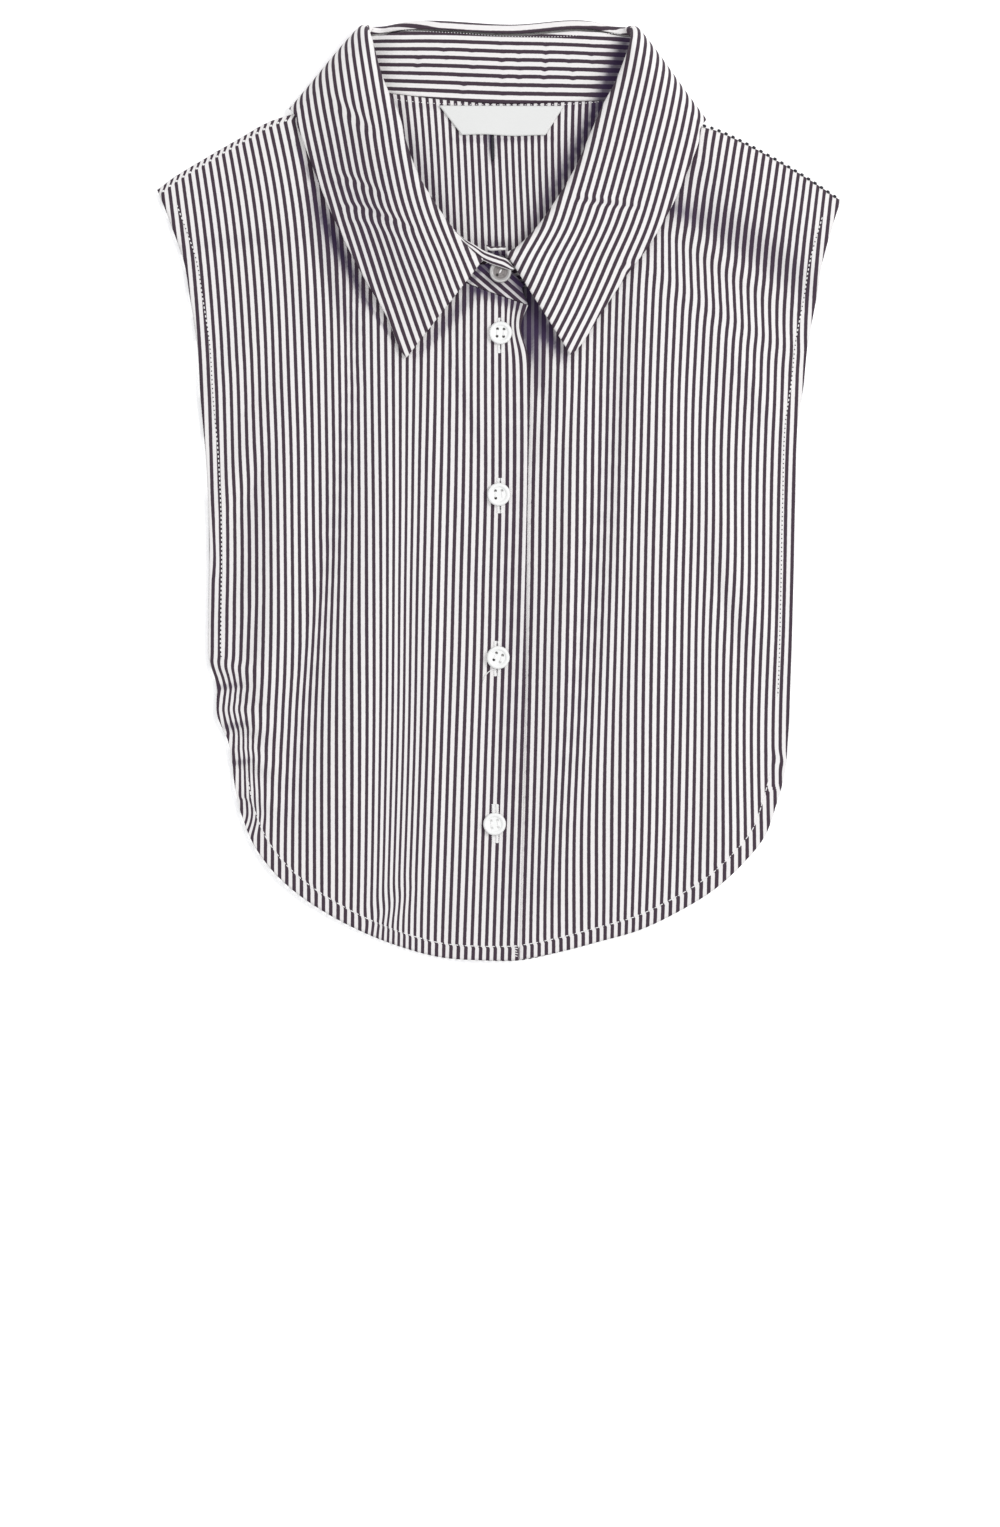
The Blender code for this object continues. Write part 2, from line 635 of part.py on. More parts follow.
def make_front_buttons(collection, cutters, finish):
    for number, (x, y) in enumerate(FRONT_BUTTONS, 1):
        z = float(front_z(np.array(x), np.array(y), 1.0)) + WALL + BUTTON_GAP
        place = Vector((x, y, z)) * MM
        make_button(f"button_{number}", place, Vector((0, 0, 1)), BUTTON_RADIUS, collection, cutters, finish)


def make_stand_button(collection, cutters, finish):
    """It lies on the over tab, so its axis is the tab's own slope there."""
    rows = np.linspace(collar_row("over tab end"), collar_row("left end"), STAND_PROBE_FACES + 1)
    surface = stand_surface(rows, STAND_PROBE_FACES)
    gap = np.hypot(surface[..., 0] - STAND_BUTTON[0], surface[..., 1] - STAND_BUTTON[1])
    i, j = np.unravel_index(gap.argmin(), gap.shape)
    i, j = np.clip((i, j), 1, STAND_PROBE_FACES - 1)
    down = surface[i + 1, j] - surface[i - 1, j]
    across = surface[i, j + 1] - surface[i, j - 1]
    normal = np.cross(down, across)
    normal *= np.sign(normal[2]) / np.linalg.norm(normal)
    place = Vector(surface[i, j] + (WALL / 2 + STAND_BUTTON_GAP) * normal) * MM
    make_button("stand_button", place, Vector(normal), STAND_BUTTON_RADIUS, collection, cutters, finish)


def main():
    for obj in list(bpy.data.objects):
        bpy.data.objects.remove(obj, do_unlink=True)
    collection = bpy.data.collections.new("Dickey collar")
    cutters = bpy.data.collections.new("Cutters")
    for made in (collection, cutters):
        bpy.context.scene.collection.children.link(made)
    make_back(collection, material("back cotton", SHIRTING))
    make_front("front_over", True, collection, material("over front cotton", SHIRTING))
    make_front("front_under", False, collection, material("under front cotton", SHIRTING))
    make_stand(collection, material("stand cotton", COLLAR_SHIRTING))
    make_fall(collection, material("fall cotton", COLLAR_SHIRTING))
    make_label(collection, material("woven label", LABEL_WHITE))
    make_front_buttons(collection, cutters, material("white button", BUTTON_WHITE))
    make_stand_button(collection, cutters, material("grey button", BUTTON_GREY))


main()
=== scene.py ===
"""A striped cotton dickey collar, buttoned up and laid flat on its back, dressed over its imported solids.

The script is a lesson in cells. Lengths are millimetres until a mesh is made, when they become metres.
+Y runs from the hem to the collar, and left and right are those of someone looking down at the piece.
"""

# %% [markdown]
# The imported solids come first. They are the size and the place of everything that follows, and they stay in
# the scene. Each finished piece of cloth is laid over its own solid and stands in for it in the picture.

import math

import bpy
import numpy as np
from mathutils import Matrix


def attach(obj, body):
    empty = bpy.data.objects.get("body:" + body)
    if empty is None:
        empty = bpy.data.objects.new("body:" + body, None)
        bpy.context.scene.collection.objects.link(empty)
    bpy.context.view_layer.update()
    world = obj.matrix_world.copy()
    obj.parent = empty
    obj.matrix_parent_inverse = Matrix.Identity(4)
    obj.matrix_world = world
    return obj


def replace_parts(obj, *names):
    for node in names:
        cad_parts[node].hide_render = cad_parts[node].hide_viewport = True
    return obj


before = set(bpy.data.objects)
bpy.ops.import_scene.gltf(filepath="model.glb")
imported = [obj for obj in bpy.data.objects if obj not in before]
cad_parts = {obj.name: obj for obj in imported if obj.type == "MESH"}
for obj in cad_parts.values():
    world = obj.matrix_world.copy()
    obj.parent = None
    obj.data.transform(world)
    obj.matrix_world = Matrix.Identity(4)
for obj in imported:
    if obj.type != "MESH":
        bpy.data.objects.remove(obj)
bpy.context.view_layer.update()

# %% [markdown]
# The photograph was taken from straight above a table with the piece lying flat, so the camera hangs above the
# middle of the picture and looks down. A long lens keeps the edges of the cloth from leaning outwards.

# %% Camera
MM = 0.001
LENS = 100.0
CAMERA_PLACE = (0.000476, -0.12976, 2.01984)

camera_data = bpy.data.cameras.new("camera")
camera_data.lens = LENS
camera_data.clip_end = 20.0
camera = bpy.data.objects.new("camera", camera_data)
camera.location = CAMERA_PLACE
bpy.context.scene.collection.objects.link(camera)
bpy.context.scene.camera = camera
bpy.context.scene.view_settings.view_transform = "Standard"


def drawn_in(points):
    """Points measured on the picture, moved towards the camera's axis by their height's share of its height.

    A point that lies higher looks farther out, so what is measured flat is drawn in by that much."""
    axis = np.array([CAMERA_PLACE[0], CAMERA_PLACE[1]]) / MM
    share = points[..., 2:] / (CAMERA_PLACE[2] / MM)
    return np.concatenate([axis + (points[..., :2] - axis) * (1 - share), points[..., 2:]], axis=-1)


print("camera height in m:", CAMERA_PLACE[2])

# %% [markdown]
# A shirt is photographed in a tent of white cloth: light comes from everywhere, a little more from one side, and
# the shadows are soft. A pale sky does most of it, and two wide lamps give the folds a lit side and a dark side.

# %% Studio
SKY_LIGHT = 0.68
LAMPS = {
    "key": ((1.25, 0.5, 1.45), 0.8, 17.0),
    "fill": ((-0.9, -0.7, 2.0), 1.6, 6.0),
}

world = bpy.data.worlds.new("studio")
world.use_nodes = True
world.node_tree.nodes["Background"].inputs["Color"].default_value = (0.97, 0.98, 1.0, 1.0)
world.node_tree.nodes["Background"].inputs["Strength"].default_value = SKY_LIGHT
bpy.context.scene.world = world
for lamp_name, (place, width, power) in LAMPS.items():
    lamp = bpy.data.lights.new(lamp_name, "AREA")
    lamp.size = width
    lamp.energy = power
    holder = bpy.data.objects.new(lamp_name, lamp)
    holder.location = place
    toward = -np.array(place)
    holder.rotation_euler = (
        math.atan2(math.hypot(toward[0], toward[1]), -toward[2]),
        0.0,
        math.atan2(toward[1], toward[0]) - math.pi / 2,
    )
    bpy.context.scene.collection.objects.link(holder)
print("lamps:", list(LAMPS))

# %% [markdown]
# Shader maths reads best as sums on a line, so one small class wraps a socket: + - * / on two of them add the
# Math nodes. Every other node comes from its one method, which takes the node's type, its settings and its inputs.

# %% Shader helper


class Thread:
    """A socket of a material. Arithmetic on it adds Math nodes, and node() adds any other one."""

    def __init__(self, tree, socket=None):
        self.tree = tree
        self.socket = socket

    def node(self, kind, settings=None, output=0, **inputs):
        """Adds a node of that type. Settings go first, then each input's value or link, _ standing for a space."""
        made = self.tree.nodes.new("ShaderNode" + kind)
        for key, value in (settings or {}).items():
            setattr(made, key, value)
        for key, value in inputs.items():
            name = key.replace("_", " ")
            socket = made.inputs[int(name[2:])] if name.startswith("in") and name[2:].isdigit() else made.inputs[name]
            if isinstance(value, Thread):
                self.tree.links.new(value.socket, socket)
            else:
                socket.default_value = value
        return Thread(self.tree, made.outputs[output])

    def maths(self, operation, other=0.0):
        return self.node("Math", {"operation": operation}, in0=self, in1=other)

    def __add__(self, other):
        return self.maths("ADD", other)

    def __radd__(self, other):
        return self + other

    def __sub__(self, other):
        return self.maths("SUBTRACT", other)

    def __rsub__(self, other):
        return self * -1.0 + other

    def __mul__(self, other):
        return self.maths("MULTIPLY", other)

    def __rmul__(self, other):
        return self * other

    def ramp(self, low, high, start=0.0, end=1.0):
        """start below low, end above high, with an even S between them."""
        return self.node(
            "MapRange",
            {"interpolation_type": "SMOOTHSTEP", "clamp": True},
            Value=self,
            From_Min=low,
            From_Max=high,
            To_Min=start,
            To_Max=end,
        )


def mixed(share, first, second):
    """A colour that goes from first to second with share."""
    return share.node("Mix", {"data_type": "RGBA"}, 2, in0=share, in6=first, in7=second)


def read_number(start, name):
    """The number of that name that a mesh keeps at its points."""
    return start.node("Attribute", {"attribute_name": name}, 2)


def new_material(name):
    """An empty material with a Principled shader, and a Thread to start from."""
    made = bpy.data.materials.new(name)
    made.use_nodes = True
    return made, made.node_tree.nodes["Principled BSDF"], Thread(made.node_tree)


def into(shader, **inputs):
    """Sets or links the shader's own sockets."""
    for key, value in inputs.items():
        socket = shader.inputs[key.replace("_", " ")]
        if isinstance(value, Thread):
            value.tree.links.new(value.socket, socket)
        else:
            socket.default_value = value


print("shader helper ready")

# %% [markdown]
# Curves and surfaces are arrays. A cloth edge is a smooth line through a few measured points, and a panel is the
# net that fills its four edges. These are the same rules that made the solids, with many more steps.

# %% Curves and nets
# Steps of a smooth line for each of its points, of a line that distances are taken from, and of a fold's path
FINE_STEPS = 40
NEAR_STEPS = 260
PATH_STEPS = 24
# A bell is left out beyond this many of its half widths, and its ends fade along this part of half a wave
BELL_REACH = 2.6
FADE_START, FADE_SPAN = 0.05, 0.9


def smoothstep(value, low, high):
    """0 below low, 1 above high, with an even S between them."""
    t = np.clip((value - low) / (high - low), 0, 1)
    return t * t * (3 - 2 * t)


def spline(knots, values, at):
    """Cubic Hermite curve through values at knots, its slope at each knot the chord across its neighbours."""
    values = np.asarray(values, float)
    slopes = np.gradient(values, knots, axis=0)
    i = np.clip(np.searchsorted(knots, at, side="right") - 1, 0, len(knots) - 2)
    width = knots[i + 1] - knots[i]
    t = (at - knots[i]) / width
    if values.ndim > 1:
        t, width = t[:, None], width[:, None]
    start, end = values[i], values[i + 1]
    first, last = slopes[i] * width, slopes[i + 1] * width
    return start + (end - start) * t * t * (3 - 2 * t) + first * t * (1 - t) ** 2 - last * t * t * (1 - t)


def distances(points):
    """Length along a line of points up to each one."""
    return np.concatenate([[0], np.cumsum(np.linalg.norm(np.diff(points, axis=0), axis=1))])


def at_lengths(points, lengths, at):
    """Places on a line of points, whose own lengths are given, at other lengths along it."""
    return np.stack([np.interp(at, lengths, points[:, k]) for k in range(points.shape[1])], axis=1)


def resampled(points, faces):
    """The same line with faces + 1 evenly spaced points."""
    length = distances(points)
    return at_lengths(points, length, np.linspace(0, length[-1], faces + 1))


def along(points, faces, crowding=1.0):
    """faces + 1 points on the smooth line through the given ones, closer at its start where crowding is above 1."""
    points = np.asarray(points, float)
    knots = distances(points)
    fine = spline(knots, points, np.linspace(0, knots[-1], FINE_STEPS * len(points)))
    length = distances(fine)
    return at_lengths(fine, length, length[-1] * np.linspace(0, 1, faces + 1) ** crowding)


def patch(bottom, top, left, right):
    """A net (rows up, columns across) filling four edges: the two ways of joining them less the corners' blend."""
    u = distances(top) / distances(top)[-1]
    v = distances(left) / distances(left)[-1]
    u, v = u[None, :, None], v[:, None, None]
    across = (1 - u) * left[:, None] + u * right[:, None]
    upward = (1 - v) * bottom[None] + v * top[None]
    corners = (
        (1 - u) * (1 - v) * bottom[0] + u * (1 - v) * bottom[-1] + (1 - u) * v * top[0] + u * v * top[-1]
    )
    return across + upward - corners


def unit(vectors):
    """The same directions with length 1."""
    return vectors / np.linalg.norm(vectors, axis=-1, keepdims=True)


def beside(x, y, line):
    """For every place: how far it is from a line of points, and the way straight to the nearest of them."""
    line = resampled(np.asarray(line, float), NEAR_STEPS)
    dx, dy = line[:, 0] - x[..., None], line[:, 1] - y[..., None]
    gap = dx * dx + dy * dy
    near = gap.argmin(axis=-1)[..., None]
    far = np.sqrt(np.take_along_axis(gap, near, -1)[..., 0])
    across = np.gradient(line, axis=0)[near[..., 0]]
    way = unit(np.stack([-across[..., 1], across[..., 0]], axis=-1))
    toward_x, toward_y = (np.take_along_axis(d, near, -1)[..., 0] for d in (dx, dy))
    toward = toward_x * way[..., 0] + toward_y * way[..., 1]
    return far, way * np.where(toward < 0, -1.0, 1.0)[..., None]


def unrolled(plan, far, way, radius):
    """Plan places with a rolled edge laid flat: near the outline, cloth goes on by its arc and not by its shadow."""
    t = np.clip(1 - far / radius, 0, 1)
    return plan + (radius * (np.arcsin(t) - t))[..., None] * way


def roll_drop(far, radius):
    """How far a rolled edge hangs below the flat cloth."""
    t = np.clip(1 - far / radius, 0, 1)
    return radius * (1 - np.sqrt(1 - t * t))


def bells(x, y, paths):
    """Sum of bells laid along paths, each of which fades out at both ends.

    A path's row is its start, middle and end, its half width at the start and at the end, and its height."""
    x, y = np.broadcast_arrays(np.asarray(x, float), np.asarray(y, float))
    t = np.linspace(0, 1, PATH_STEPS + 1)[:, None]
    total = np.zeros(x.shape)
    for start, middle, end, first_width, last_width, top in paths:
        path = (1 - t) ** 2 * np.array(start) + 2 * t * (1 - t) * np.array(middle) + t * t * np.array(end)
        reach = BELL_REACH * max(first_width, last_width)
        low, high = path.min(0) - reach, path.max(0) + reach
        close = (x > low[0]) & (x < high[0]) & (y > low[1]) & (y < high[1])
        gap = np.hypot(x[close][:, None] - path[:, 0], y[close][:, None] - path[:, 1])
        near = gap.argmin(axis=-1)
        fade = np.sin(np.pi * np.clip(t[near, 0] * FADE_SPAN + FADE_START, 0, 1)) ** 0.5
        width = first_width + (last_width - first_width) * t[near, 0]
        total[close] += top * fade * np.exp(-((gap.min(axis=-1) / width) ** 2))
    return total


print("curves ready")

# %% [markdown]
# The paper pattern: outlines of the panels, read off the photograph in millimetres, and the folds that stand
# up from the fronts. These are the numbers of the solids. A fold is a ridge along a path, with its half width at
# both ends and a height.

# %% Outlines and folds
# Thicknesses and gaps, the over front's step at the placket, and the lift over the collar folded underneath
WALL = 1.0
LAYER_GAP = 0.4
SEAM_GAP = 0.35
FOLD_GAP = 1.3
FALL_WALL = 1.2
FALL_CLEARANCE = 0.9
LAP_STEP = 1.45
LAP_RAMP_X = (-27.0, -16.0)
PLACKET_CALM_X = (12.0, 34.0)
RISE = FALL_WALL + LAYER_GAP
RISE_EDGE_Y = 177.5
RISE_SLOPE = -0.03
RISE_RAMP = (24.0, 4.0)
RISE_ENDS_X = (101.0, 125.0)

LEFT_SHOULDER = [
    (-162.5, 143), (-156, 148), (-140.5, 157.6), (-124.3, 167),
    (-107, 176.4), (-99.5, 178.7), (-92, 182.4), (-78, 191.8),
]
RIGHT_SHOULDER = [
    (162.5, 138), (147.5, 148), (131.5, 157.4), (113.5, 166.8),
    (104, 171), (96.5, 173.2), (90, 176.5), (77.6, 185),
]
LEFT_SIDE = [
    (-162.5, 143), (-159.5, 135.5), (-155, 123.5), (-150, 109), (-147, 91), (-144, 72),
    (-142, 43.5), (-139.5, 15), (-138, -23.5), (-138.3, -61.5), (-138, -80), (-134.6, -92),
    (-134, -107), (-129.2, -118.5), (-127, -128), (-126.2, -137.5), (-123, -153),
]
RIGHT_SIDE = [
    (162.5, 138), (158.5, 125), (154, 109), (151, 91), (147, 69.5), (145, 50.5), (142.5, 34),
    (141, -4.5), (140, -52), (139, -90), (137.5, -118.5), (136, -135), (132.5, -148),
]
LEFT_HEM = [
    (9.5, -223.5), (-9, -223.5), (-28, -222), (-47, -217), (-66, -209.5), (-83, -200.5),
    (-97, -191), (-109, -179.5), (-117.5, -167), (-123, -153),
]
RIGHT_HEM = [
    (-14, -222.6), (10, -223), (29, -219.5), (48, -214.5), (67, -209), (85, -200.5),
    (103.5, -189), (116.5, -177), (126.5, -164.5), (132.5, -148),
]
OVER_EDGE = [(14.2, 87.2), (10.5, 79), (13.6, 65), (14.3, 50), (13.4, -4.5), (12.5, -99.5), (9.5, -223.5)]
UNDER_EDGE = [(-12.9, 87.2), (-13, 0), (-13.5, -110), (-14, -222.6)]

FOLDS = {
    "left of the long left hollow": ((-97, 60), (-104, -35), (-113, -105), 10, 10, 2.4),
    "right of the long left hollow": ((-52, 35), (-58, -60), (-80, -175), 12, 12, 2.2),
    "left hollow lip": ((-74, 105), (-77, 40), (-80, -20), 5, 5, 1.1),
    "left of the placket": ((-33, 60), (-32, -80), (-30, -190), 9, 9, 1.1),
    "pull to the second button": ((-30, 72), (-22, 42), (-14, 16), 4, 4, 1),
    "pull to the third button": ((-30, 20), (-24, -20), (-14, -58), 5, 5, 0.9),
    "right pull to the second button": ((36, 62), (28, 38), (20, 16), 4, 4, 1),
    "left of the long right hollow": ((40, 35), (34, -60), (20, -185), 8, 8, 2),
    "right of the long right hollow": ((76, 75), (82, -40), (55, -195), 13, 13, 2.3),
    "right hollow lip": ((67, 92), (63, 20), (52, -90), 5, 5, 1.2),
    "under the right shoulder": ((92, 118), (118, 106), (146, 84), 6, 6, 2),
    "over the right shoulder": ((98, 148), (122, 142), (150, 122), 9, 9, 1.4),
    "right armhole, high": ((105, 70), (117, 50), (132, 30), 7, 7, 1.5),
    "right armhole, middle": ((100, 0), (110, -45), (128, -75), 8, 8, 1.6),
    "right armhole, low": ((108, -112), (112, -150), (100, -178), 8, 8, 1.5),
    "left shoulder crease": ((-152, 118), (-125, 122), (-104, 122), 4, 4, 1),
    "left armhole, high": ((-116, 70), (-128, 58), (-139, 45), 7, 7, 1.6),
    "left armhole, middle": ((-112, 30), (-122, 10), (-135, -8), 7, 7, 1.7),
    "left armhole, low": ((-112, -40), (-122, -55), (-134, -68), 6, 6, 1.4),
    "left edge ruffle 1": ((-112, -90), (-122, -86), (-134, -83), 5, 5, 2.2),
    "left edge ruffle 2": ((-108, -114), (-120, -110), (-131, -108), 5, 5, 2.4),
    "left edge ruffle 3": ((-106, -132), (-116, -128), (-127, -125), 4, 4, 2.2),
    "left edge ruffle 4": ((-104, -150), (-114, -146), (-125, -142), 4, 4, 1.8),
    "left neck point": ((-76, 196), (-76, 190), (-78, 180), 9, 9, 0.9),
    "right neck point": ((76, 190), (76, 184), (78, 174), 9, 9, 0.9),
}
print("folds:", len(FOLDS))

# %% [markdown]
# Heights. The back lies on the table and lifts a little over the collar that is folded under it. The fronts lie
# on the back with their folds, and the front that laps over steps up by one thickness of cloth at the placket.

# %% Heights of the panels
BILLOW = 1.3
# An edge's place, and how far in from it the swell starts and is full
BILLOW_SIDE = (138.0, 5.0, 32.0)
BILLOW_HEM = (222.0, 6.0, 36.0)
BILLOW_TOP = (178.0, 6.0, 34.0)
# Where the free edge curls up most, its half widths, and how high it goes
PINCH = ((14.0, 80.0), (4.2, 11.0), 3.2)
# Small folds and hollows, laid over the large ones
SMALL_FOLDS = {
    "long left hollow": ((-67.5, 98), (-71, 19.5), (-99.5, -154.5), 3.5, 8, -1.3),
    "long right hollow": ((56.5, 98), (54, -4.5), (22, -190), 6, 7, -1.3),
    "hollow beside the left point": ((-88.5, 136), (-77.5, 115), (-65, 91), 5, 4, -1.6),
    "ridge left of that hollow": ((-102, 138.5), (-94.5, 105), (-85, 72), 6, 8, 1.4),
    "band under the right shoulder": ((88, 132), (112.5, 115), (141, 91), 3, 7, -1.5),
    "lip over that band": ((103.5, 140.5), (126.5, 123.5), (148, 105), 5, 6, 1.5),
    "drag to the second button": ((-27.5, 76.5), (-17.5, 43.5), (-5.5, 10), 2, 1.6, 1),
    "drag beside it": ((-22.5, 76.5), (-12, 43.5), (-2.5, 12), 1.6, 1.3, -0.8),
    "drag to the third button": ((-25, 10), (-16.5, -33), (-5.5, -64), 2, 1.5, 0.8),
    "right drag to the second button": ((27, 55), (23.5, 34), (16.5, 11), 2.2, 1.8, 0.9),
    "right side streak": ((108.5, 67), (116.5, 49), (125.5, 34), 3, 3, -0.9),
    "right side streak, low": ((101, -35), (108.5, -59), (115.5, -81.5), 3, 4, -0.9),
    "right hem streak": ((80, -122), (82, -149.5), (83.5, -175.5), 3, 3, -0.8),
    "left shoulder hollow": ((-152, 115), (-125.5, 120.5), (-96.5, 122.5), 3, 3, -0.9),
    "left armhole hollow, high": ((-110, 50.5), (-121, 41), (-134, 32), 4, 4, -1),
    "left armhole hollow, middle": ((-110, 15.5), (-121, -4.5), (-134, -21.5), 4, 4, -1),
    "left armhole hollow, low": ((-113, -33), (-115.5, -61.5), (-121.5, -84.5), 5, 5, -0.9),
    "ruffle gap 1": ((-113, -102.5), (-124.5, -100.5), (-136.5, -99.5), 3, 3, -1.2),
    "ruffle gap 2": ((-113, -118.5), (-123.5, -117.5), (-135.5, -116.5), 3, 3, -1.2),
    "ruffle gap 3": ((-113, -135.5), (-120.5, -135), (-130, -134), 3, 3, -1.2),
}


def rise(x, y):
    """How far the panels lift over the collar folded under them."""
    edge = RISE_EDGE_Y + RISE_SLOPE * x
    over_fall = smoothstep(-np.abs(x), -RISE_ENDS_X[1], -RISE_ENDS_X[0])
    return RISE * over_fall * smoothstep(y, edge - RISE_RAMP[0], edge - RISE_RAMP[1])


def relief(x, y):
    """Height of the fronts' folds, none of them on the placket."""
    return bells(x, y, FOLDS.values()) * smoothstep(np.abs(x), *PLACKET_CALM_X)


def lap(x):
    """How far the over front lies above the under front's level."""
    return LAP_STEP * smoothstep(x, *LAP_RAMP_X)


def billow(x, y):
    """Broad swell of the fronts away from their edges, which gives the hollows somewhere to sink."""
    side = smoothstep(BILLOW_SIDE[0] - np.abs(x), *BILLOW_SIDE[1:])
    hem = smoothstep(BILLOW_HEM[0] + y, *BILLOW_HEM[1:])
    top = smoothstep(BILLOW_TOP[0] - y, *BILLOW_TOP[1:])
    return BILLOW * (side * hem) * top * smoothstep(np.abs(x), *PLACKET_CALM_X)


def pinch(x, y):
    """The free edge curls up below the stand, where the top button pulls it."""
    (px, py), (wide, tall), top = PINCH
    return top * np.exp(-(((x - px) / wide) ** 2) - ((y - py) / tall) ** 2)


def front_z(x, y, over):
    """Height of a front's underside. over is 1 for the front that laps over, 0 for the other."""
    stepped = over * (lap(x) + pinch(x, y)) * (np.abs(x) < PLACKET_CALM_X[1])
    swell = billow(x, y) + bells(x, y, SMALL_FOLDS.values()) * smoothstep(np.abs(x), *PLACKET_CALM_X)
    return WALL + LAYER_GAP + rise(x, y) + np.maximum(relief(x, y) + swell, 0.0) + stepped


plan_x, plan_y = np.meshgrid(np.arange(-140, 140, 4), np.arange(-200, 140, 4))
print("highest fold in mm:", round(float(relief(plan_x, plan_y).max()), 1))

# %% [markdown]
# The collar is a stand, which goes up from the neck seam, and a fall, which turns over its top and comes down
# outside. Laid flat, both run from the front, round the back of the neck and to the front again as a flattened
# tube. So each is a family of cross sections: a row of numbers for each one, and smooth curves between the rows.

# %% Collar sections
# rim is the top of the fold, core_z the height of the fold's middle line, edge the fall's outer edge and seam
# the stand's lower edge. turn is the way the outer side faces, in degrees: 0 up, 90 to the side, 180 down.
# layer is 1 on the fronts and 0 on the back, and lap is 1 where the over front carries the collar.
COLLAR_COLUMNS = "rim_x rim_y core_z edge_x edge_y seam_x seam_y turn layer roll_out roll_up lap".split()
PLACE_COLUMNS = 7
COLLAR_ROWS = {
    "over tab end": (12.6, 99, 5.8, -24, 52, 13.8, 88.6, 0, 1, 0, 0, 1),
    "over tab": (6.5, 106, 6.2, -30, 58.5, 7, 91, 0, 1, 0, 0, 1),
    "over tab root": (-1, 109.8, 6.3, -37.5, 62, -3.5, 94.6, 0, 1, 0, 0, 1),
    "left end": (-7.5, 110.5, 8.4, -44, 63.5, -14, 98.6, 0, 1, 2, 2, 1),
    "left 1": (-18.5, 120.5, 9, -53.5, 83, -28.5, 104.5, 0, 1, 2.6, 2.2, 1),
    "left 2": (-29.5, 135, 9.3, -64.5, 102, -44, 115, 0, 1, 3, 2.4, 1),
    "left 3": (-39, 151, 9.5, -73.5, 119, -57.5, 130.5, 0, 1, 3.4, 2.4, 1),
    "left 4": (-44.5, 166, 9.7, -82.5, 138.5, -66, 149, 0, 1, 3.6, 2.4, 1),
    "left 5": (-48.5, 180.5, 10.1, -90.5, 159, -71, 167, 0, 1, 3.8, 2.4, 1),
    "left 6": (-56, 197.5, 10.4, -95.8, 173.5, -73.4, 181, 0, 1, 3.8, 2.4, 1),
    "left front corner": (-61.6, 217.4, 10.6, -97.3, 179.2, -75.2, 189.6, 0, 1, 3.8, 2.4, 1),
    "left corner": (-63, 221, 6.8, -99.6, 181.8, -76.4, 191.9, 90, 0.5, 3.8, 2.4, 1),
    "left back corner": (-60, 220.6, 3, -95.8, 179.8, -73.2, 191.9, 180, 0, 3.8, 2.4, 1),
    "back left": (-42, 223.2, 3, -66, 178.6, -52, 189.4, 180, 0, 3.8, 2.4, 1),
    "back centre": (6, 221.6, 3, 0, 177.6, -1, 184.6, 180, 0, 3.8, 2.4, 1),
    "back right": (42, 223.4, 3, 64, 175.6, 50, 186, 180, 0, 3.8, 2.4, 1),
    "right back corner": (60, 220.4, 3, 94.8, 174.4, 72.4, 186.4, 180, 0, 3.8, 2.4, 1),
    "right corner": (62.9, 220.6, 6.8, 98.4, 176.8, 75.8, 185.6, 270, 0.5, 3.8, 2.4, 1),
    "right front corner": (63.2, 216.8, 10.6, 96.4, 173.8, 74.2, 183, 360, 1, 3.8, 2.4, 1),
    "right 6": (57, 197.5, 10.4, 95, 166, 72.4, 175.5, 360, 1, 3.8, 2.4, 1),
    "right 5": (50, 184, 10.1, 90.5, 154, 69.5, 163, 360, 1, 3.8, 2.4, 1),
    "right 4": (44.5, 171.5, 9.6, 82.5, 136, 63.5, 146.5, 360, 1, 3.6, 2.4, 1),
    "right 3": (36.8, 154, 9.4, 71.5, 117, 54, 129.5, 360, 1, 3.4, 2.4, 1),
    "right 2": (28.5, 140, 9.1, 61, 103, 42, 115.5, 360, 1, 3, 2.5, 0),
    "right 1": (17, 124, 8.2, 49.5, 86, 27.5, 104.5, 360, 1, 2.6, 2.7, 0),
    "right end": (3.5, 113.5, 7.3, 34, 65, 11.5, 97, 360, 1, 2, 2.8, 0),
    "under tab": (-3.5, 114.5, 3.7, 27, 66, -2, 93, 360, 1, 0, 0, 0),
    "under tab end": (-10.5, 110, 3.1, 20, 61.5, -12.4, 88.6, 360, 1, 0, 0, 0),
}
NECK_STEPS = 400
ROW_NAMES = list(COLLAR_ROWS)
COLLAR = {name: np.array(column, float) for name, column in zip(COLLAR_COLUMNS, zip(*COLLAR_ROWS.values()))}
# How far the outer edge stands off the fronts beyond its plain clearance
EDGE_LIFT = {
    "left end": 0.2, "left 1": 1.2, "left 2": 2.8, "left 3": 3.4, "left 4": 2.0, "left 5": 0.3, "left 6": 0.0,
    "right 5": 0.0, "right 4": 1.4, "right 3": 1.4, "right 2": 0.4, "right 1": 0.4, "right end": 1.6,
}


def collar_row(name):
    """A section's place in the table, as a row number."""
    return float(ROW_NAMES.index(name))


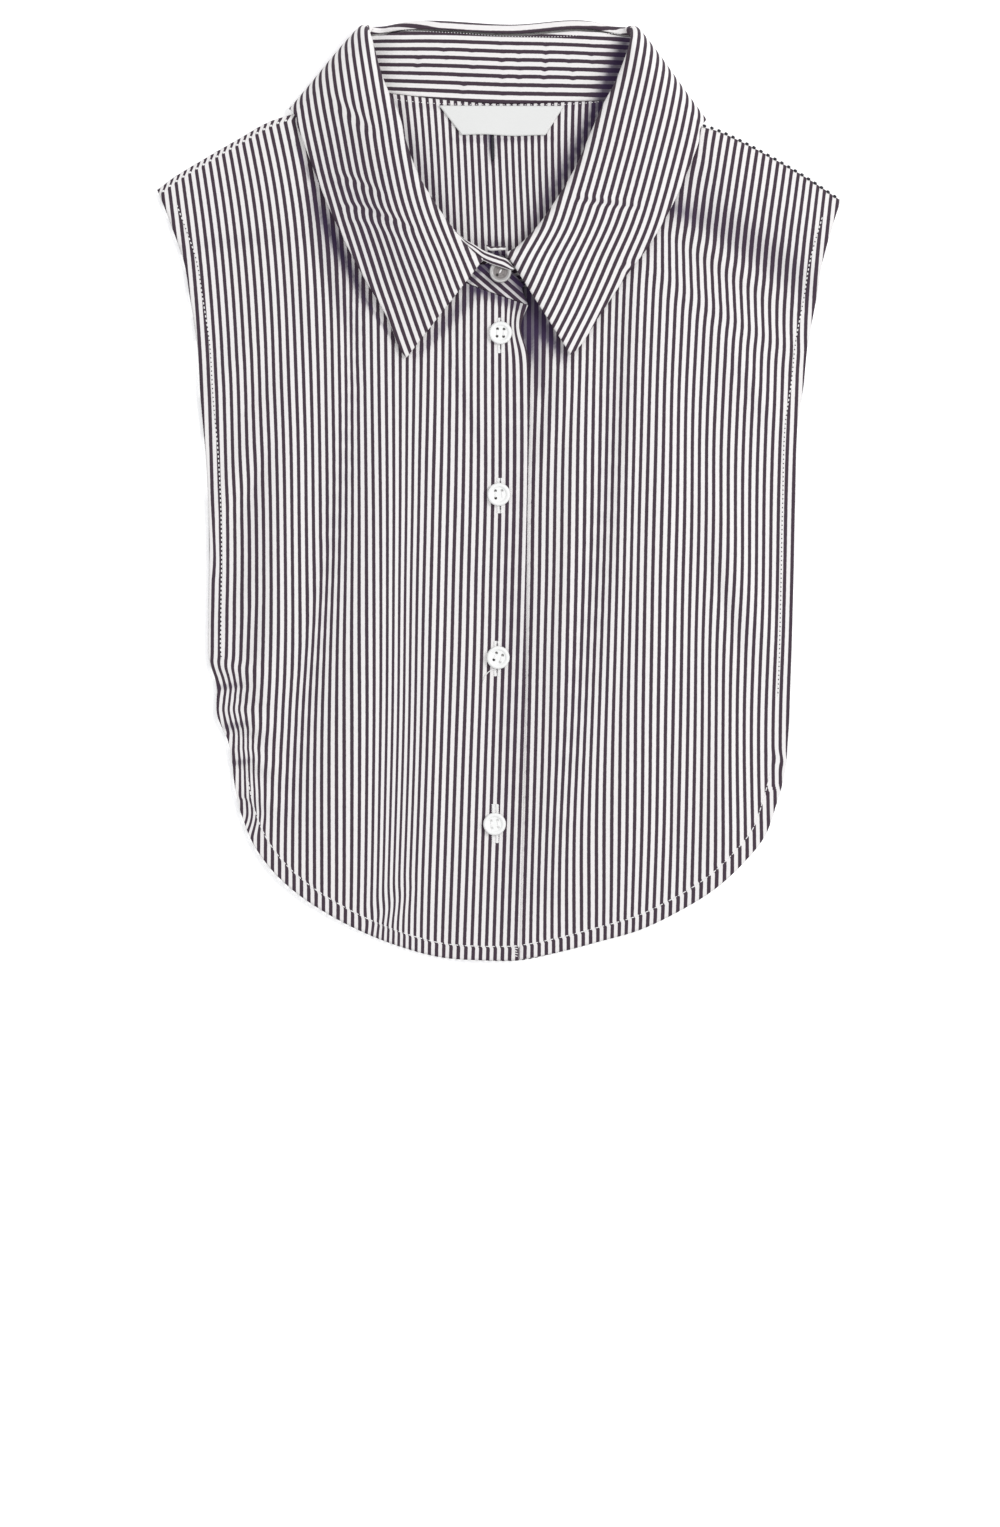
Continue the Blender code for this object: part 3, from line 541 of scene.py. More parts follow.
def collar_frame(rows):
    """The collar's lines at fractional row numbers: core, up to the rim, outer side, edge, seam and the roll's size."""
    c = COLLAR
    knots = distances(np.stack([c[name] for name in COLLAR_COLUMNS[:PLACE_COLUMNS]], axis=1))
    at = np.interp(rows, np.arange(len(knots)), knots)
    line = {name: spline(knots, c[name], at) for name in COLLAR_COLUMNS}
    flat = np.zeros(len(at))
    up = unit(np.stack([line["rim_x"] - line["edge_x"], line["rim_y"] - line["edge_y"], flat], axis=1))
    side = np.stack([-up[:, 1], up[:, 0], flat], axis=1)
    turn = np.radians(np.interp(rows, np.arange(len(knots)), c["turn"]))[:, None]
    out = np.cos(turn) * np.array([0, 0, 1.0]) + np.sin(turn) * side
    rim = np.stack([line["rim_x"], line["rim_y"], line["core_z"]], axis=1)
    core = rim - line["roll_out"][:, None] * up
    layer = np.clip(line["layer"], 0, 1)
    over = np.clip(np.round(line["lap"]), 0, 1)
    edge_z = layer * (front_z(line["edge_x"], line["edge_y"], over) + WALL + FALL_CLEARANCE) + FALL_WALL / 2
    seam_z = WALL / 2 + (
        layer * front_z(line["seam_x"], line["seam_y"], over) + (1 - layer) * rise(line["seam_x"], line["seam_y"])
    )
    lift = np.interp(rows, [collar_row(name) for name in EDGE_LIFT], list(EDGE_LIFT.values()))
    edge = np.stack([line["edge_x"], line["edge_y"], edge_z + lift], axis=1)
    seam = np.stack([line["seam_x"], line["seam_y"], seam_z], axis=1)
    return core, up, out, edge, seam, line["roll_out"][:, None], line["roll_up"][:, None]


def bezier(points, t):
    """Cubic curve of four control points, each an array of sections, at every t."""
    a, b, c, d = (p[None] for p in points)
    t = t[:, None, None]
    return (1 - t) ** 3 * a + 3 * t * (1 - t) ** 2 * b + 3 * t * t * (1 - t) * c + t**3 * d


def section_rows(first, last, each):
    """Fractional row numbers, each steps to a row of the table."""
    first, last = collar_row(first), collar_row(last)
    return np.linspace(first, last, int((last - first) * each) + 1)


def neck_line(first, last, faces):
    """A panel's neck edge in plan: the stand's lower edge moved off by the seam gap."""
    rows = np.linspace(collar_row(first), collar_row(last), NECK_STEPS)
    core, _, _, _, seam, _, _ = collar_frame(rows)
    away = seam[:, :2] - core[:, :2]
    return resampled(seam[:, :2] + SEAM_GAP * unit(away), faces)


print("collar sections:", len(ROW_NAMES))

# %% [markdown]
# A sheet of cloth is a net of points with a thin wall. Its own UV map is the flat cloth: the first number counts
# the stripes across it, and the second runs along them in the same unit, so the weave follows every fold.
# A second value at each point is painted shade: how deep in a fold a place lies, by which its colour darkens.

# %% Sheets
# The stripes repeat every 7.4 pixels of the photograph, which has 2.1 pixels to the millimetre
STRIPE_PITCH = 7.4 / 2.1
CLOTH_WALL = 0.6


def linked(name, mesh, finish):
    """Puts a mesh in the scene with its finish, riding on the piece's one body."""
    mesh.materials.append(finish)
    made = bpy.data.objects.new(name, mesh)
    bpy.context.scene.collection.objects.link(made)
    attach(made, "root")
    return made


def net_faces(rows, columns, closed=False):
    """Corner numbers of the squares of a net, counted row by row, its columns joined up where it is closed."""
    r = np.arange(rows - 1)[:, None]
    c = np.arange(columns if closed else columns - 1)[None, :]
    after = (c + 1) % columns
    return np.stack([r * columns + c, r * columns + after, (r + 1) * columns + after, (r + 1) * columns + c], axis=-1)


def mesh_of(name, points, faces):
    """A smooth mesh from points in millimetres and faces of one size."""
    mesh = bpy.data.meshes.new(name)
    faces = np.asarray(faces).reshape(-1, faces.shape[-1])
    mesh.vertices.add(len(points))
    mesh.vertices.foreach_set("co", (points * MM).astype(np.float32).ravel())
    mesh.loops.add(faces.size)
    mesh.loops.foreach_set("vertex_index", faces.ravel().astype(np.int32))
    mesh.polygons.add(len(faces))
    mesh.polygons.foreach_set("loop_start", np.arange(0, faces.size, faces.shape[1], dtype=np.int32))
    mesh.update(calc_edges=True)
    mesh.validate()
    mesh.shade_smooth()
    return mesh


def painted(mesh, name, values):
    """Keeps a number at every point of a mesh, for its material to read."""
    mesh.attributes.new(name, "FLOAT", "POINT").data.foreach_set("value", values.astype(np.float32).ravel())


def cloth(name, points, flat, shade, finish, wall=CLOTH_WALL, offset=1.0):
    """A sheet bent to a net of points, with flat cloth coordinates and painted shade at each, and its wall by Solidify.
    """
    rows, columns = points.shape[:2]
    mesh = mesh_of(name, drawn_in(points).reshape(-1, 3), net_faces(rows, columns))
    corners = np.zeros(len(mesh.loops), np.int32)
    mesh.loops.foreach_get("vertex_index", corners)
    at_corners = flat.reshape(-1, 2)[corners].astype(np.float32)
    mesh.uv_layers.new(name="flat_cloth").data.foreach_set("uv", at_corners.ravel())
    painted(mesh, "shade", shade)
    made = linked(name, mesh, finish)
    solidify = made.modifiers.new("Wall", "SOLIDIFY")
    solidify.thickness = wall * MM
    solidify.offset = offset
    solidify.use_even_offset = False
    print(name, "faces:", rows * columns)
    return made


# %% [markdown]
# The shirting is a plain weave of white and dark plum threads in even stripes. Up close each stripe is a ladder of
# threads, so the edges of the stripes are slightly ragged and the dark ones are speckled with white. The stripe is
# a wave of the flat cloth's own coordinate, the threads are two finer waves, and the light catches their tops.

# %% Striped cotton
DARK_THREAD = (0.052, 0.031, 0.047, 1.0)
WHITE_THREAD = (0.91, 0.885, 0.875, 1.0)
# Colour that painted shade darkens the cloth towards in the folds
PAINTED_SHADE_COLOUR = (0.033, 0.016, 0.060, 1.0)
DARK_SHARE = 0.47
THREADS_PER_STRIPE = 11.0
# Where shade is painted, the dark stripes are drawn wider, and the white ones dim slowly at first
SHADE_SPREAD = 0.4
SPREAD_MOST = 0.13
SHADE_START = 0.35
# The stripes' edges: how much the noise that makes them ragged is stretched, its strength, and their softness
RAGGED_STRETCH = (9.0, 2.2, 1.0)
RAGGED = 0.05
EDGE_SOFT = 0.07
# Specks where a white thread shows among dark ones, and how much of them slubs in the thread add
SPECK = (0.35, 0.32, 0.34, 1.0)
SPECK_MOST = 0.09
SLUB_SPECK = 0.10
SLUB_BUMP = 1.5
WEAVE_DEPTH = 0.00012


def striped_cotton(name):
    """Stripes, their threads and their slubs, all on the flat cloth, darkened towards plum by painted shade in the
    folds.
    """
    material, shader, start = new_material(name)
    flat = start.node("UVMap", {"uv_map": "flat_cloth"})
    across = start.node("SeparateXYZ", Vector=flat)
    lengthways = Thread(start.tree, across.socket.node.outputs["Y"])
    stretched = start.node("VectorMath", {"operation": "MULTIPLY"}, in0=flat, in1=RAGGED_STRETCH)
    ragged = start.node("TexNoise", {"noise_dimensions": "2D"}, Vector=stretched, Scale=1.0, Detail=3.0)
    phase = across + (ragged - 0.5) * RAGGED
    from_white = (phase.maths("FRACT") - 0.5).maths("ABSOLUTE") * -2.0 + 1.0
    shade = read_number(start, "shade")
    spread = (shade * SHADE_SPREAD).maths("MINIMUM", SPREAD_MOST)
    dark = (from_white + spread).ramp(1.0 - DARK_SHARE - EDGE_SOFT, 1.0 - DARK_SHARE + EDGE_SOFT)
    warp = (across * (math.tau * THREADS_PER_STRIPE)).maths("SINE")
    weft = (lengthways * (math.tau * THREADS_PER_STRIPE)).maths("SINE")
    weave = warp * weft
    slub = start.node("TexNoise", {"noise_dimensions": "2D"}, Vector=stretched, Scale=0.35, Detail=4.0)
    threads = mixed(dark, WHITE_THREAD, DARK_THREAD)
    speckled = mixed(weave.ramp(0.2, 1.0, 0.0, SPECK_MOST) + (slub - 0.5) * SLUB_SPECK, threads, SPECK)
    # Painted shade: the threads' colour goes towards plum by the shade the mesh keeps
    deep = mixed(shade * (shade * (1.0 - SHADE_START) + SHADE_START), speckled, PAINTED_SHADE_COLOUR)
    bump = start.node("Bump", Strength=0.25, Distance=WEAVE_DEPTH, Height=weave + slub * SLUB_BUMP)
    into(
        shader,
        Base_Color=deep,
        Roughness=slub.ramp(0.3, 0.7, 0.72, 0.86),
        Normal=bump,
        Sheen_Weight=0.12,
        Specular_IOR_Level=0.25,
    )
    return material


cotton = striped_cotton("striped shirting")
print("cotton nodes:", len(cotton.node_tree.nodes))

# %% [markdown]
# The grain. On the table the cloth pulls and slackens, so the stripes drift sideways by a few millimetres from
# plumb lines. The drift was measured along the stripes and is written here as a coarse net of values in tenths
# of a millimetre, smoothed between its knots by bell-shaped curves.

# %% Drift of the stripes
TENTHS = 10


def bell_curves(value, low, high, count):
    """Shares of count evenly spaced cubic B-spline knots at each value, from low to high."""
    step = (high - low) / (count - 3)
    d = np.abs((value[..., None] - low) / step + 1 - np.arange(count))
    return np.where(d < 1, 2 / 3 - d**2 + d**3 / 2, np.where(d < 2, (2 - d) ** 3 / 6, 0))


def drift(u, v, table, u_range, v_range):
    """The table's value at (u, v) in millimetres: a sum of its knots, weighted by the bell curves of both."""
    table = np.asarray(table, float) / TENTHS
    u, v = np.clip(u, *u_range), np.clip(v, *v_range)
    shares_u = bell_curves(u, *u_range, table.shape[1])
    shares_v = bell_curves(v, *v_range, table.shape[0])
    return np.einsum("...j,...i,ij->...", shares_u, shares_v, table)


# name: the cloth's own normal, the count's start, the table's box in millimetres, and the drift in tenths of one
GRAIN = {
    "left front": ((1, 0), 238.46, (-165, 18, -226, 176), [
        [-93, -78, -63, -50, -38, -29, -22, -17, -14, -9, -1, 15, 38, 63, 84, 96, 101, 101, 101, 102, 103, 105],
        [-92, -78, -65, -52, -39, -28, -20, -14, -11, -9, -6, 0, 18, 56, 84, 90, 91, 91, 92, 94, 95, 96],
        [-90, -78, -66, -54, -41, -29, -18, -11, -9, -9, -8, -10, -1, 46, 81, 83, 81, 81, 83, 85, 86, 88],
        [-88, -77, -67, -56, -44, -31, -18, -10, -10, -9, -7, -11, -8, 30, 67, 73, 70, 69, 71, 74, 77, 79],
        [-84, -75, -66, -57, -48, -36, -23, -21, -16, -7, -7, -12, -11, 17, 52, 63, 61, 60, 61, 64, 67, 70],
        [-79, -72, -64, -57, -50, -42, -34, -38, -34, -13, -6, -12, -14, 8, 42, 54, 50, 48, 51, 54, 58, 61],
        [-72, -67, -61, -55, -49, -47, -49, -50, -48, -36, -9, -8, -14, 5, 38, 44, 39, 38, 40, 44, 48, 52],
        [-64, -61, -58, -57, -57, -54, -54, -50, -42, -45, -25, -7, -13, 3, 33, 36, 34, 34, 33, 36, 40, 43],
        [-53, -52, -52, -53, -56, -53, -50, -49, -39, -38, -34, -9, -10, 0, 24, 29, 26, 23, 23, 28, 32, 36],
        [-40, -42, -44, -44, -43, -41, -40, -41, -39, -34, -33, -8, -4, 0, 20, 22, 18, 20, 23, 24, 27, 32],
        [-23, -28, -32, -36, -37, -34, -31, -27, -27, -27, -29, -6, 3, 2, 12, 14, 16, 23, 25, 27, 29, 32],
        [-3, -9, -15, -17, -17, -17, -18, -18, -17, -18, -23, -6, 8, 6, 8, 11, 18, 21, 25, 33, 34, 35],
        [20, 16, 11, 8, 8, 6, 5, 2, -1, -2, -4, 1, 10, 11, 10, 12, 16, 19, 24, 32, 36, 39],
        [45, 47, 49, 49, 46, 43, 39, 35, 33, 29, 24, 20, 18, 16, 14, 13, 15, 18, 24, 30, 36, 41],
        [72, 81, 89, 96, 100, 103, 104, 101, 93, 77, 60, 44, 31, 22, 16, 14, 14, 17, 22, 28, 35, 42],
        [98, 114, 130, 144, 155, 165, 169, 166, 151, 127, 97, 69, 46, 29, 19, 14, 13, 16, 20, 27, 35, 43],
    ]),
    "right front": ((1, 0), 237.95, (3, 165, -226, 176), [
        [28, 29, 29, 28, 29, 36, 46, 55, 57, 54, 47, 38, 30, 25, 23, 25, 28, 33],
        [18, 22, 27, 29, 27, 30, 38, 47, 48, 45, 39, 31, 26, 24, 26, 29, 33, 37],
        [9, 13, 20, 31, 31, 25, 28, 36, 35, 35, 32, 25, 22, 25, 29, 34, 37, 40],
        [2, 6, 9, 19, 34, 30, 24, 23, 24, 26, 24, 23, 23, 28, 34, 38, 40, 41],
        [-4, 0, 3, 3, 16, 27, 22, 19, 21, 20, 20, 30, 33, 35, 39, 39, 40, 41],
        [-10, -8, -5, -3, -2, 14, 19, 18, 17, 13, 18, 29, 33, 34, 36, 36, 37, 39],
        [-16, -14, -12, -8, -9, 0, 11, 13, 11, 9, 21, 22, 18, 19, 24, 29, 32, 36],
        [-21, -19, -19, -18, -16, -13, 2, 8, 7, 4, 5, 0, 6, 12, 15, 20, 25, 30],
        [-27, -24, -20, -21, -20, -21, -7, 3, -2, -6, -3, 1, 7, 9, 9, 12, 17, 23],
        [-31, -30, -29, -26, -23, -24, -15, -5, -11, -5, 2, 1, 2, 2, 1, 3, 8, 13],
        [-33, -36, -39, -37, -32, -30, -22, -13, -14, -9, -13, -17, -16, -13, -12, -6, -2, 0],
        [-34, -36, -38, -39, -40, -37, -30, -24, -28, -31, -32, -29, -22, -17, -16, -14, -16, -17],
        [-32, -35, -38, -41, -44, -44, -42, -41, -38, -33, -30, -31, -33, -36, -36, -35, -37, -38],
        [-29, -33, -38, -43, -48, -52, -55, -56, -55, -61, -70, -72, -76, -81, -81, -73, -67, -62],
        [-25, -31, -37, -44, -51, -59, -68, -78, -90, -108, -121, -121, -121, -123, -120, -111, -100, -88],
        [-21, -28, -36, -45, -55, -67, -83, -104, -128, -152, -167, -171, -170, -165, -158, -147, -133, -117],
    ]),
    "left leaf": ((0.908, 0.4191), 15.37, (-104, -4, 60, 228), [
        [101, 100, 98, 97, 95, 93, 90, 89, 88, 87, 87],
        [83, 82, 82, 81, 80, 80, 81, 81, 80, 79, 77],
        [65, 65, 65, 65, 66, 68, 71, 73, 74, 71, 67],
        [47, 47, 48, 49, 51, 54, 57, 61, 68, 63, 57],
        [29, 29, 30, 32, 37, 44, 46, 52, 62, 53, 49],
        [10, 12, 13, 14, 20, 26, 45, 42, 53, 48, 45],
        [-10, -8, -4, 1, 5, 19, 38, 42, 54, 49, 43],
        [-33, -29, -26, -22, -5, 19, 27, 36, 42, 42, 41],
        [-59, -54, -49, -34, -15, -10, -1, 11, 20, 28, 34],
        [-92, -80, -72, -63, -49, -39, -32, -19, -5, 9, 22],
        [-133, -114, -98, -92, -84, -79, -66, -50, -31, -13, 6],
        [-180, -158, -134, -120, -116, -108, -95, -78, -57, -35, -13],
        [-229, -206, -183, -160, -148, -140, -124, -104, -81, -57, -33],
        [-280, -256, -232, -209, -186, -168, -150, -128, -105, -79, -53],
        [-333, -308, -284, -259, -233, -204, -179, -153, -127, -100, -73],
        [-386, -361, -335, -308, -276, -242, -209, -178, -149, -121, -93],
    ]),
    "right leaf": ((-0.8821, 0.4711), 6.89, (0, 102, 62, 228), [
        [66, 64, 61, 59, 59, 61, 65, 72, 80, 90, 100],
        [60, 59, 58, 56, 55, 54, 57, 63, 70, 78, 85],
        [54, 54, 53, 54, 51, 48, 51, 55, 60, 65, 69],
        [47, 49, 49, 52, 52, 46, 46, 47, 49, 51, 53],
        [39, 41, 42, 41, 40, 40, 39, 37, 36, 35, 35],
        [32, 30, 30, 28, 29, 25, 26, 23, 21, 18, 15],
        [29, 37, 48, 41, 32, 23, 19, 12, 5, -2, -8],
        [27, 29, 26, 11, 9, 4, -4, -12, -20, -27, -35],
        [21, 14, 5, -5, -15, -25, -32, -41, -47, -56, -66],
        [8, -4, -17, -29, -39, -49, -59, -70, -76, -88, -103],
        [-8, -24, -40, -56, -71, -82, -90, -98, -107, -127, -146],
        [-26, -46, -65, -83, -99, -111, -122, -128, -148, -171, -194],
        [-46, -68, -89, -110, -128, -142, -151, -165, -196, -220, -243],
        [-65, -89, -113, -136, -157, -175, -192, -212, -239, -266, -292],
        [-85, -111, -137, -163, -188, -213, -238, -262, -287, -314, -341],
        [-104, -132, -161, -190, -220, -251, -282, -311, -337, -363, -389],
    ]),
    "inside back": ((1, 0), 236.71, (-60, 60, 112, 190), [
        [-140, -103, -70, -41, -17, 6, 38, 77, 119],
        [-127, -91, -57, -29, -12, 7, 45, 82, 117],
        [-111, -79, -47, -19, -8, 19, 56, 85, 114],
        [-89, -65, -36, -9, 2, 32, 56, 82, 106],
        [-57, -40, -20, 0, 12, 35, 57, 76, 94],
        [-19, -7, 3, 10, 20, 34, 48, 63, 79],
        [21, 24, 24, 24, 27, 32, 40, 51, 62],
    ]),
    "stand back": ((0, 1), -185.8, (-76, 76, 180, 224), [
        [-31, -5, 20, 39, 51, 55, 53, 46, 38],
        [-27, -11, 7, 21, 32, 34, 36, 34, 33],
        [-22, -16, -7, 0, 9, 12, 18, 23, 31],
        [-14, -15, -19, -20, -6, -6, 4, 18, 31],
        [-8, -14, -22, -26, -17, -14, 2, 18, 33],
        [-3, -14, -24, -29, -27, -18, -2, 16, 35],
    ]),
}


def stripes(name, x, y):
    """Stripes counted across a cloth: how far a place lies along the cloth's own normal, plus the drift there."""
    (nx, ny), origin, (x0, x1, y0, y1), table = GRAIN[name]
    return (x * nx + y * ny + origin + drift(x, y, table, (x0, x1), (y0, y1))) / STRIPE_PITCH


# %% [markdown]
# Cloth looks darkest where light hardly reaches: beside the collar's points, in the opening of the neck and in the
# long hollows. That shade is painted into the cloth's colour along these paths, so the picture keeps it under any
# light. Each path has its half width at both ends and its strength.

# %% Painted shade in the folds
DEEPEST = 0.92
PAINTED_SHADES = {
    "front": {
        "long left hollow": ((-67.5, 98.0), (-71.0, 19.5), (-99.5, -154.5), 3.2, 8, 0.18),
        "long right hollow": ((56.5, 98.0), (54.0, -4.5), (22.0, -190.0), 6, 8, 0.16),
        "beside the left point, deep": ((-88.0, 141.0), (-77.0, 116.0), (-62.5, 89.0), 4.2, 3.0, 1.0),
        "beside the left point, soft": ((-91.0, 136.0), (-82.5, 107.5), (-70.0, 76.5), 6, 4, 0.3),
        "band under the right shoulder": ((62.0, 145.0), (113.0, 127.0), (152.0, 92.0), 7.0, 10.0, 0.38),
        "right shoulder": ((84.0, 158.0), (118.0, 134.0), (156.0, 106.0), 16.0, 14.0, 0.13),
        "start of that band": ((76.0, 139.5), (84.0, 134.0), (94.0, 129.0), 3.0, 4.0, 0.4),
        "drag to the second button": ((-26.5, 74.5), (-16.5, 43.5), (-4.5, 10.0), 2.0, 1.8, 0.16),
        "drag to the third button": ((-24.0, 7.5), (-15.5, -33.0), (-4.5, -65.0), 2.0, 1.6, 0.1),
        "right drag to the second button": ((28.0, 54.0), (23.5, 34.0), (18.0, 12.0), 2.5, 2.5, 0.12),
        "right side streak": ((108.5, 67.0), (116.5, 49.0), (125.5, 34.0), 3, 3, 0.1),
        "ruffle gap 1": ((-137.0, -94.0), (-130.0, -93.0), (-122.0, -92.0), 1.3, 1.6, 0.45),
        "ruffle gap 2": ((-132.0, -112.5), (-126.0, -111.5), (-119.0, -110.5), 1.3, 1.6, 0.5),
        "ruffle gap 3": ((-129.0, -130.0), (-123.0, -129.0), (-117.0, -128.0), 1.2, 1.5, 0.45),
        "left leaf edge, high": ((-96.5, 166.0), (-92.5, 154.5), (-87.5, 143.0), 1.1, 1.3, 0.85),
        "left leaf edge, low": ((-64.0, 92.0), (-58.0, 82.0), (-47.0, 68.0), 1.0, 1.0, 0.6),
        "left shoulder hollow": ((-152.0, 115.5), (-125.5, 119.5), (-96.5, 121.5), 3.5, 4, 0.12),
        "left armhole hollow": ((-113.0, 19.5), (-118.5, -23.5), (-120.5, -84.5), 4, 5, 0.12),
        "under the tabs": ((-19.0, 99.0), (0.5, 93.0), (14.0, 86.0), 3.6, 2.6, 0.75),
        "in front of the left point": ((-8.0, 98.5), (-22.5, 83.5), (-39.0, 64.5), 4.0, 2.0, 0.6),
        "placket": ((8.0, 60.0), (7.0, -70.0), (5.0, -215.0), 9, 9, 0.2),
    },
    "under": {
        "placket hollow, deep": ((8.0, 100.0), (17.5, 84.0), (30.0, 64.0), 5.6, 3.4, 1.3),
        "placket hollow, beside the edge": ((9.0, 96.0), (11.5, 82.0), (14.5, 64.0), 5.0, 3.2, 0.9),
        "placket hollow, soft": ((15.0, 81.5), (18.5, 67.0), (19.5, 47.0), 6, 3, 0.55),
        "along the free edge": ((14.7, 48.0), (14.9, -52.0), (11.5, -209.0), 0.8, 0.8, 0.25),
        "beside the tab": ((10.0, 101.0), (12.5, 96.0), (14.5, 89.0), 3.0, 3.0, 0.95),
    },
    "inside": {
        "beside the right roll": ((61.5, 217.0), (44.5, 171.5), (14.0, 121.5), 3.6, 4.2, 0.85),
        "beside the right roll, soft": ((53.0, 206.0), (40.0, 172.0), (10.5, 126.5), 6, 5, 0.18),
        "beside the left roll": ((-51.0, 186.0), (-40.0, 157.5), (-21.0, 125.0), 3.0, 3.0, 0.26),
        "beside the left roll, soft": ((-45.0, 181.5), (-32.0, 153.0), (-14.0, 123.5), 7, 6, 0.03),
        "stand, right end": ((66.0, 230.0), (58.0, 208.0), (52.0, 184.0), 7.0, 7.0, 0.5),
        "middle": ((0.0, 165.0), (0.0, 145.0), (0.0, 122.0), 26, 14, 0.07),
        "under the label": ((-22.5, 167.5), (0.5, 167.0), (25.5, 168.0), 1.6, 1.6, 0.35),
        "under the stand": ((-48.0, 183.5), (-1.5, 182.5), (48.0, 184.5), 1.6, 1.6, 0.3),
        "dart": ((-4.6, 171.5), (-4.2, 165.0), (-3.5, 155.0), 1.5, 0.6, 1.2),
        "beside the dart": ((-2.0, 169.0), (-1.5, 164.5), (-1.5, 158.5), 2.2, 1.2, 0.25),
        "bottom of the opening": ((-10.0, 117.5), (-1.0, 115.5), (7.0, 117.5), 3.0, 3.0, 0.4),
        "hollow between the lips": ((-6.0, 113.2), (-1.0, 112.6), (5.0, 111.8), 1.8, 1.9, 0.95),
    },
    "fall": {
        "left leaf": ((-84.0, 172.0), (-62.0, 132.0), (-48.0, 86.0), 26.0, 20.0, 0.25),
        "right leaf": ((72.0, 196.0), (58.0, 150.0), (40.0, 92.0), 22.0, 18.0, 0.06),
        "left crease": ((-88.5, 154.0), (-62.5, 137.0), (-47.0, 124.5), 1.3, 1.2, 0.16),
        "right crease": ((37.0, 139.5), (50.0, 137.5), (66.5, 135.5), 0.9, 0.9, 0.25),
    },
    "tab": {
        "all of it": ((-13.0, 103.0), (2.0, 99.0), (17.0, 91.0), 9.0, 9.0, 0.42),
        "beside the left leaf": ((-10.5, 108.5), (-6.5, 107.0), (-1.0, 106.0), 3.4, 3.2, 0.85),
        "along the left leaf": ((-9.0, 106.0), (-12.0, 101.0), (-16.5, 96.5), 1.6, 1.2, 0.5),
        "beside the right leaf": ((4.5, 109.0), (11.0, 101.5), (16.0, 90.5), 4.6, 3.6, 0.95),
        "hollow between the lips": ((-6.0, 113.2), (-1.0, 112.6), (5.0, 111.8), 1.8, 1.9, 0.95),
        "right corner": ((13.5, 90.0), (15.0, 88.5), (16.5, 87.0), 1.6, 1.6, 0.8),
    },
    "under tab": {
        "beside the tab": ((8.0, 104.0), (11.5, 98.0), (14.5, 89.0), 3.0, 3.0, 0.95),
        "hollow between the lips": ((-6.0, 113.2), (-1.0, 112.2), (5.0, 111.6), 2.0, 2.2, 0.9),
    },
}


def shade_of(x, y, *groups):
    """Painted shade at each place: how deep in a fold it lies, from 0 to the deepest."""
    total = sum(bells(x, y, PAINTED_SHADES[group].values()) for group in groups)
    return np.clip(total, 0, DEEPEST)


print("shaded paths:", sum(len(table) for table in PAINTED_SHADES.values()))

# %% [markdown]
# The back panel lies face down. Only its inside shows, in the opening of the neck, so it is one plain sheet with
# the shoulders, armholes and curved hem of the fronts.

# %% Back panel
# Faces of the back's net: across the neck, across a shoulder and down
BACK_NET = (130, 20, 260)


def back_net(across_neck, across_shoulder, down):
    """The back's net in plan, hem to top, left to right."""
    neck = neck_line("left corner", "right corner", across_neck)
    left = along(LEFT_SHOULDER[:-1] + [tuple(neck[0])], across_shoulder)
    right = along(RIGHT_SHOULDER[:-1] + [tuple(neck[-1])], across_shoulder)[::-1]
    top = np.concatenate([left, neck[1:], right[1:]])
    hem = along(LEFT_HEM[::-1] + RIGHT_HEM[2:], len(top) - 1)
    return patch(hem, top, along(LEFT_SIDE, down)[::-1], along(RIGHT_SIDE, down)[::-1])


def panel_flat(name, x, y):
    """Flat cloth coordinates of a panel whose stripes run up: stripes counted across, and the length along them."""
    return np.stack([stripes(name, x, y), y / STRIPE_PITCH], axis=-1)


plan = back_net(*BACK_NET)
x, y = plan[..., 0], plan[..., 1]
points, flat = np.dstack([plan, rise(x, y)]), panel_flat("inside back", x, y)
# The back's inside gets the painted shade of the neck's opening
back = cloth("back_panel", points, flat, shade_of(x, y, "inside"), cotton, wall=WALL)
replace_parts(back, "back")

# %% [markdown]
# The two fronts. Each is one net from the hem to the shoulder and the neck seam. The left one laps over at the
# placket, where its free edge runs a little unevenly down the middle.

# %% Fronts
# Faces of a front's net: across the neck, across the shoulder and down, where they crowd towards the top
FRONT_NET = (84, 60, 300)
DOWN_CROWDING = 1.35
OUTLINE_STEPS = 200


def front_net(over, across_neck, across_shoulder, down):
    """A front's net in plan, hem to top, left to right."""
    if over:
        neck = neck_line("over tab end", "left corner", across_neck)[::-1]
        shoulder, side, hem, edge = LEFT_SHOULDER, LEFT_SIDE, LEFT_HEM, OVER_EDGE
    else:
        neck = neck_line("right corner", "under tab end", across_neck)
        shoulder, side, hem, edge = RIGHT_SHOULDER, RIGHT_SIDE, RIGHT_HEM, UNDER_EDGE
    shoulder_line = along(shoulder[:-1] + [tuple(neck[0])], across_shoulder)
    side_line = along(side, down, DOWN_CROWDING)[::-1]
    placket = along([tuple(neck[-1])] + edge[1:], down, DOWN_CROWDING)[::-1]
    hem_line = along(hem, across_neck + across_shoulder)
    top = np.concatenate([shoulder_line, neck[1:]])
    if over:
        return patch(hem_line[::-1], top, side_line, placket)
    return patch(hem_line, top[::-1], placket, side_line)


# The rolled shoulders: their radius, how far their outermost line drops, and how far the stripes hook over there
SHOULDER_ROLL = {"left": 3.4, "right": 2.2}
SHOULDER_DROP = 0.9
SHOULDER_HOOK = 1.5
SHOULDER_HOOK_WIDE = (0.4, 2.6)
# The turned hems: how wide, where they start and end to show, how far their stripes are off, and their shade
HEM_WIDE = 6.9
HEM_SOFT = (-0.5, 0.3)
ARMHOLE_SOFT = (-1.4, -0.6)
HEM_SHIFT = 0.22
HEM_SHADE = 0.07
ARMHOLE_SHADE_SHARE = 0.5
# The top button pulls the stripes beside the free edge this far, from this much below the pinch, over this height
PULL_MOST = 3.4
PULL_BELOW = 1
PULL_TALL = 9.5
PULL_X = (1.0, 11.0)


def pinched(x, y):
    """How far the stripes beside the free edge follow it where the top button pulls it in, in millimetres."""
    beyond = (y - PINCH[0][1] + PULL_BELOW) / PULL_TALL
    return PULL_MOST * np.exp(-(beyond**2)) * smoothstep(x, *PULL_X)


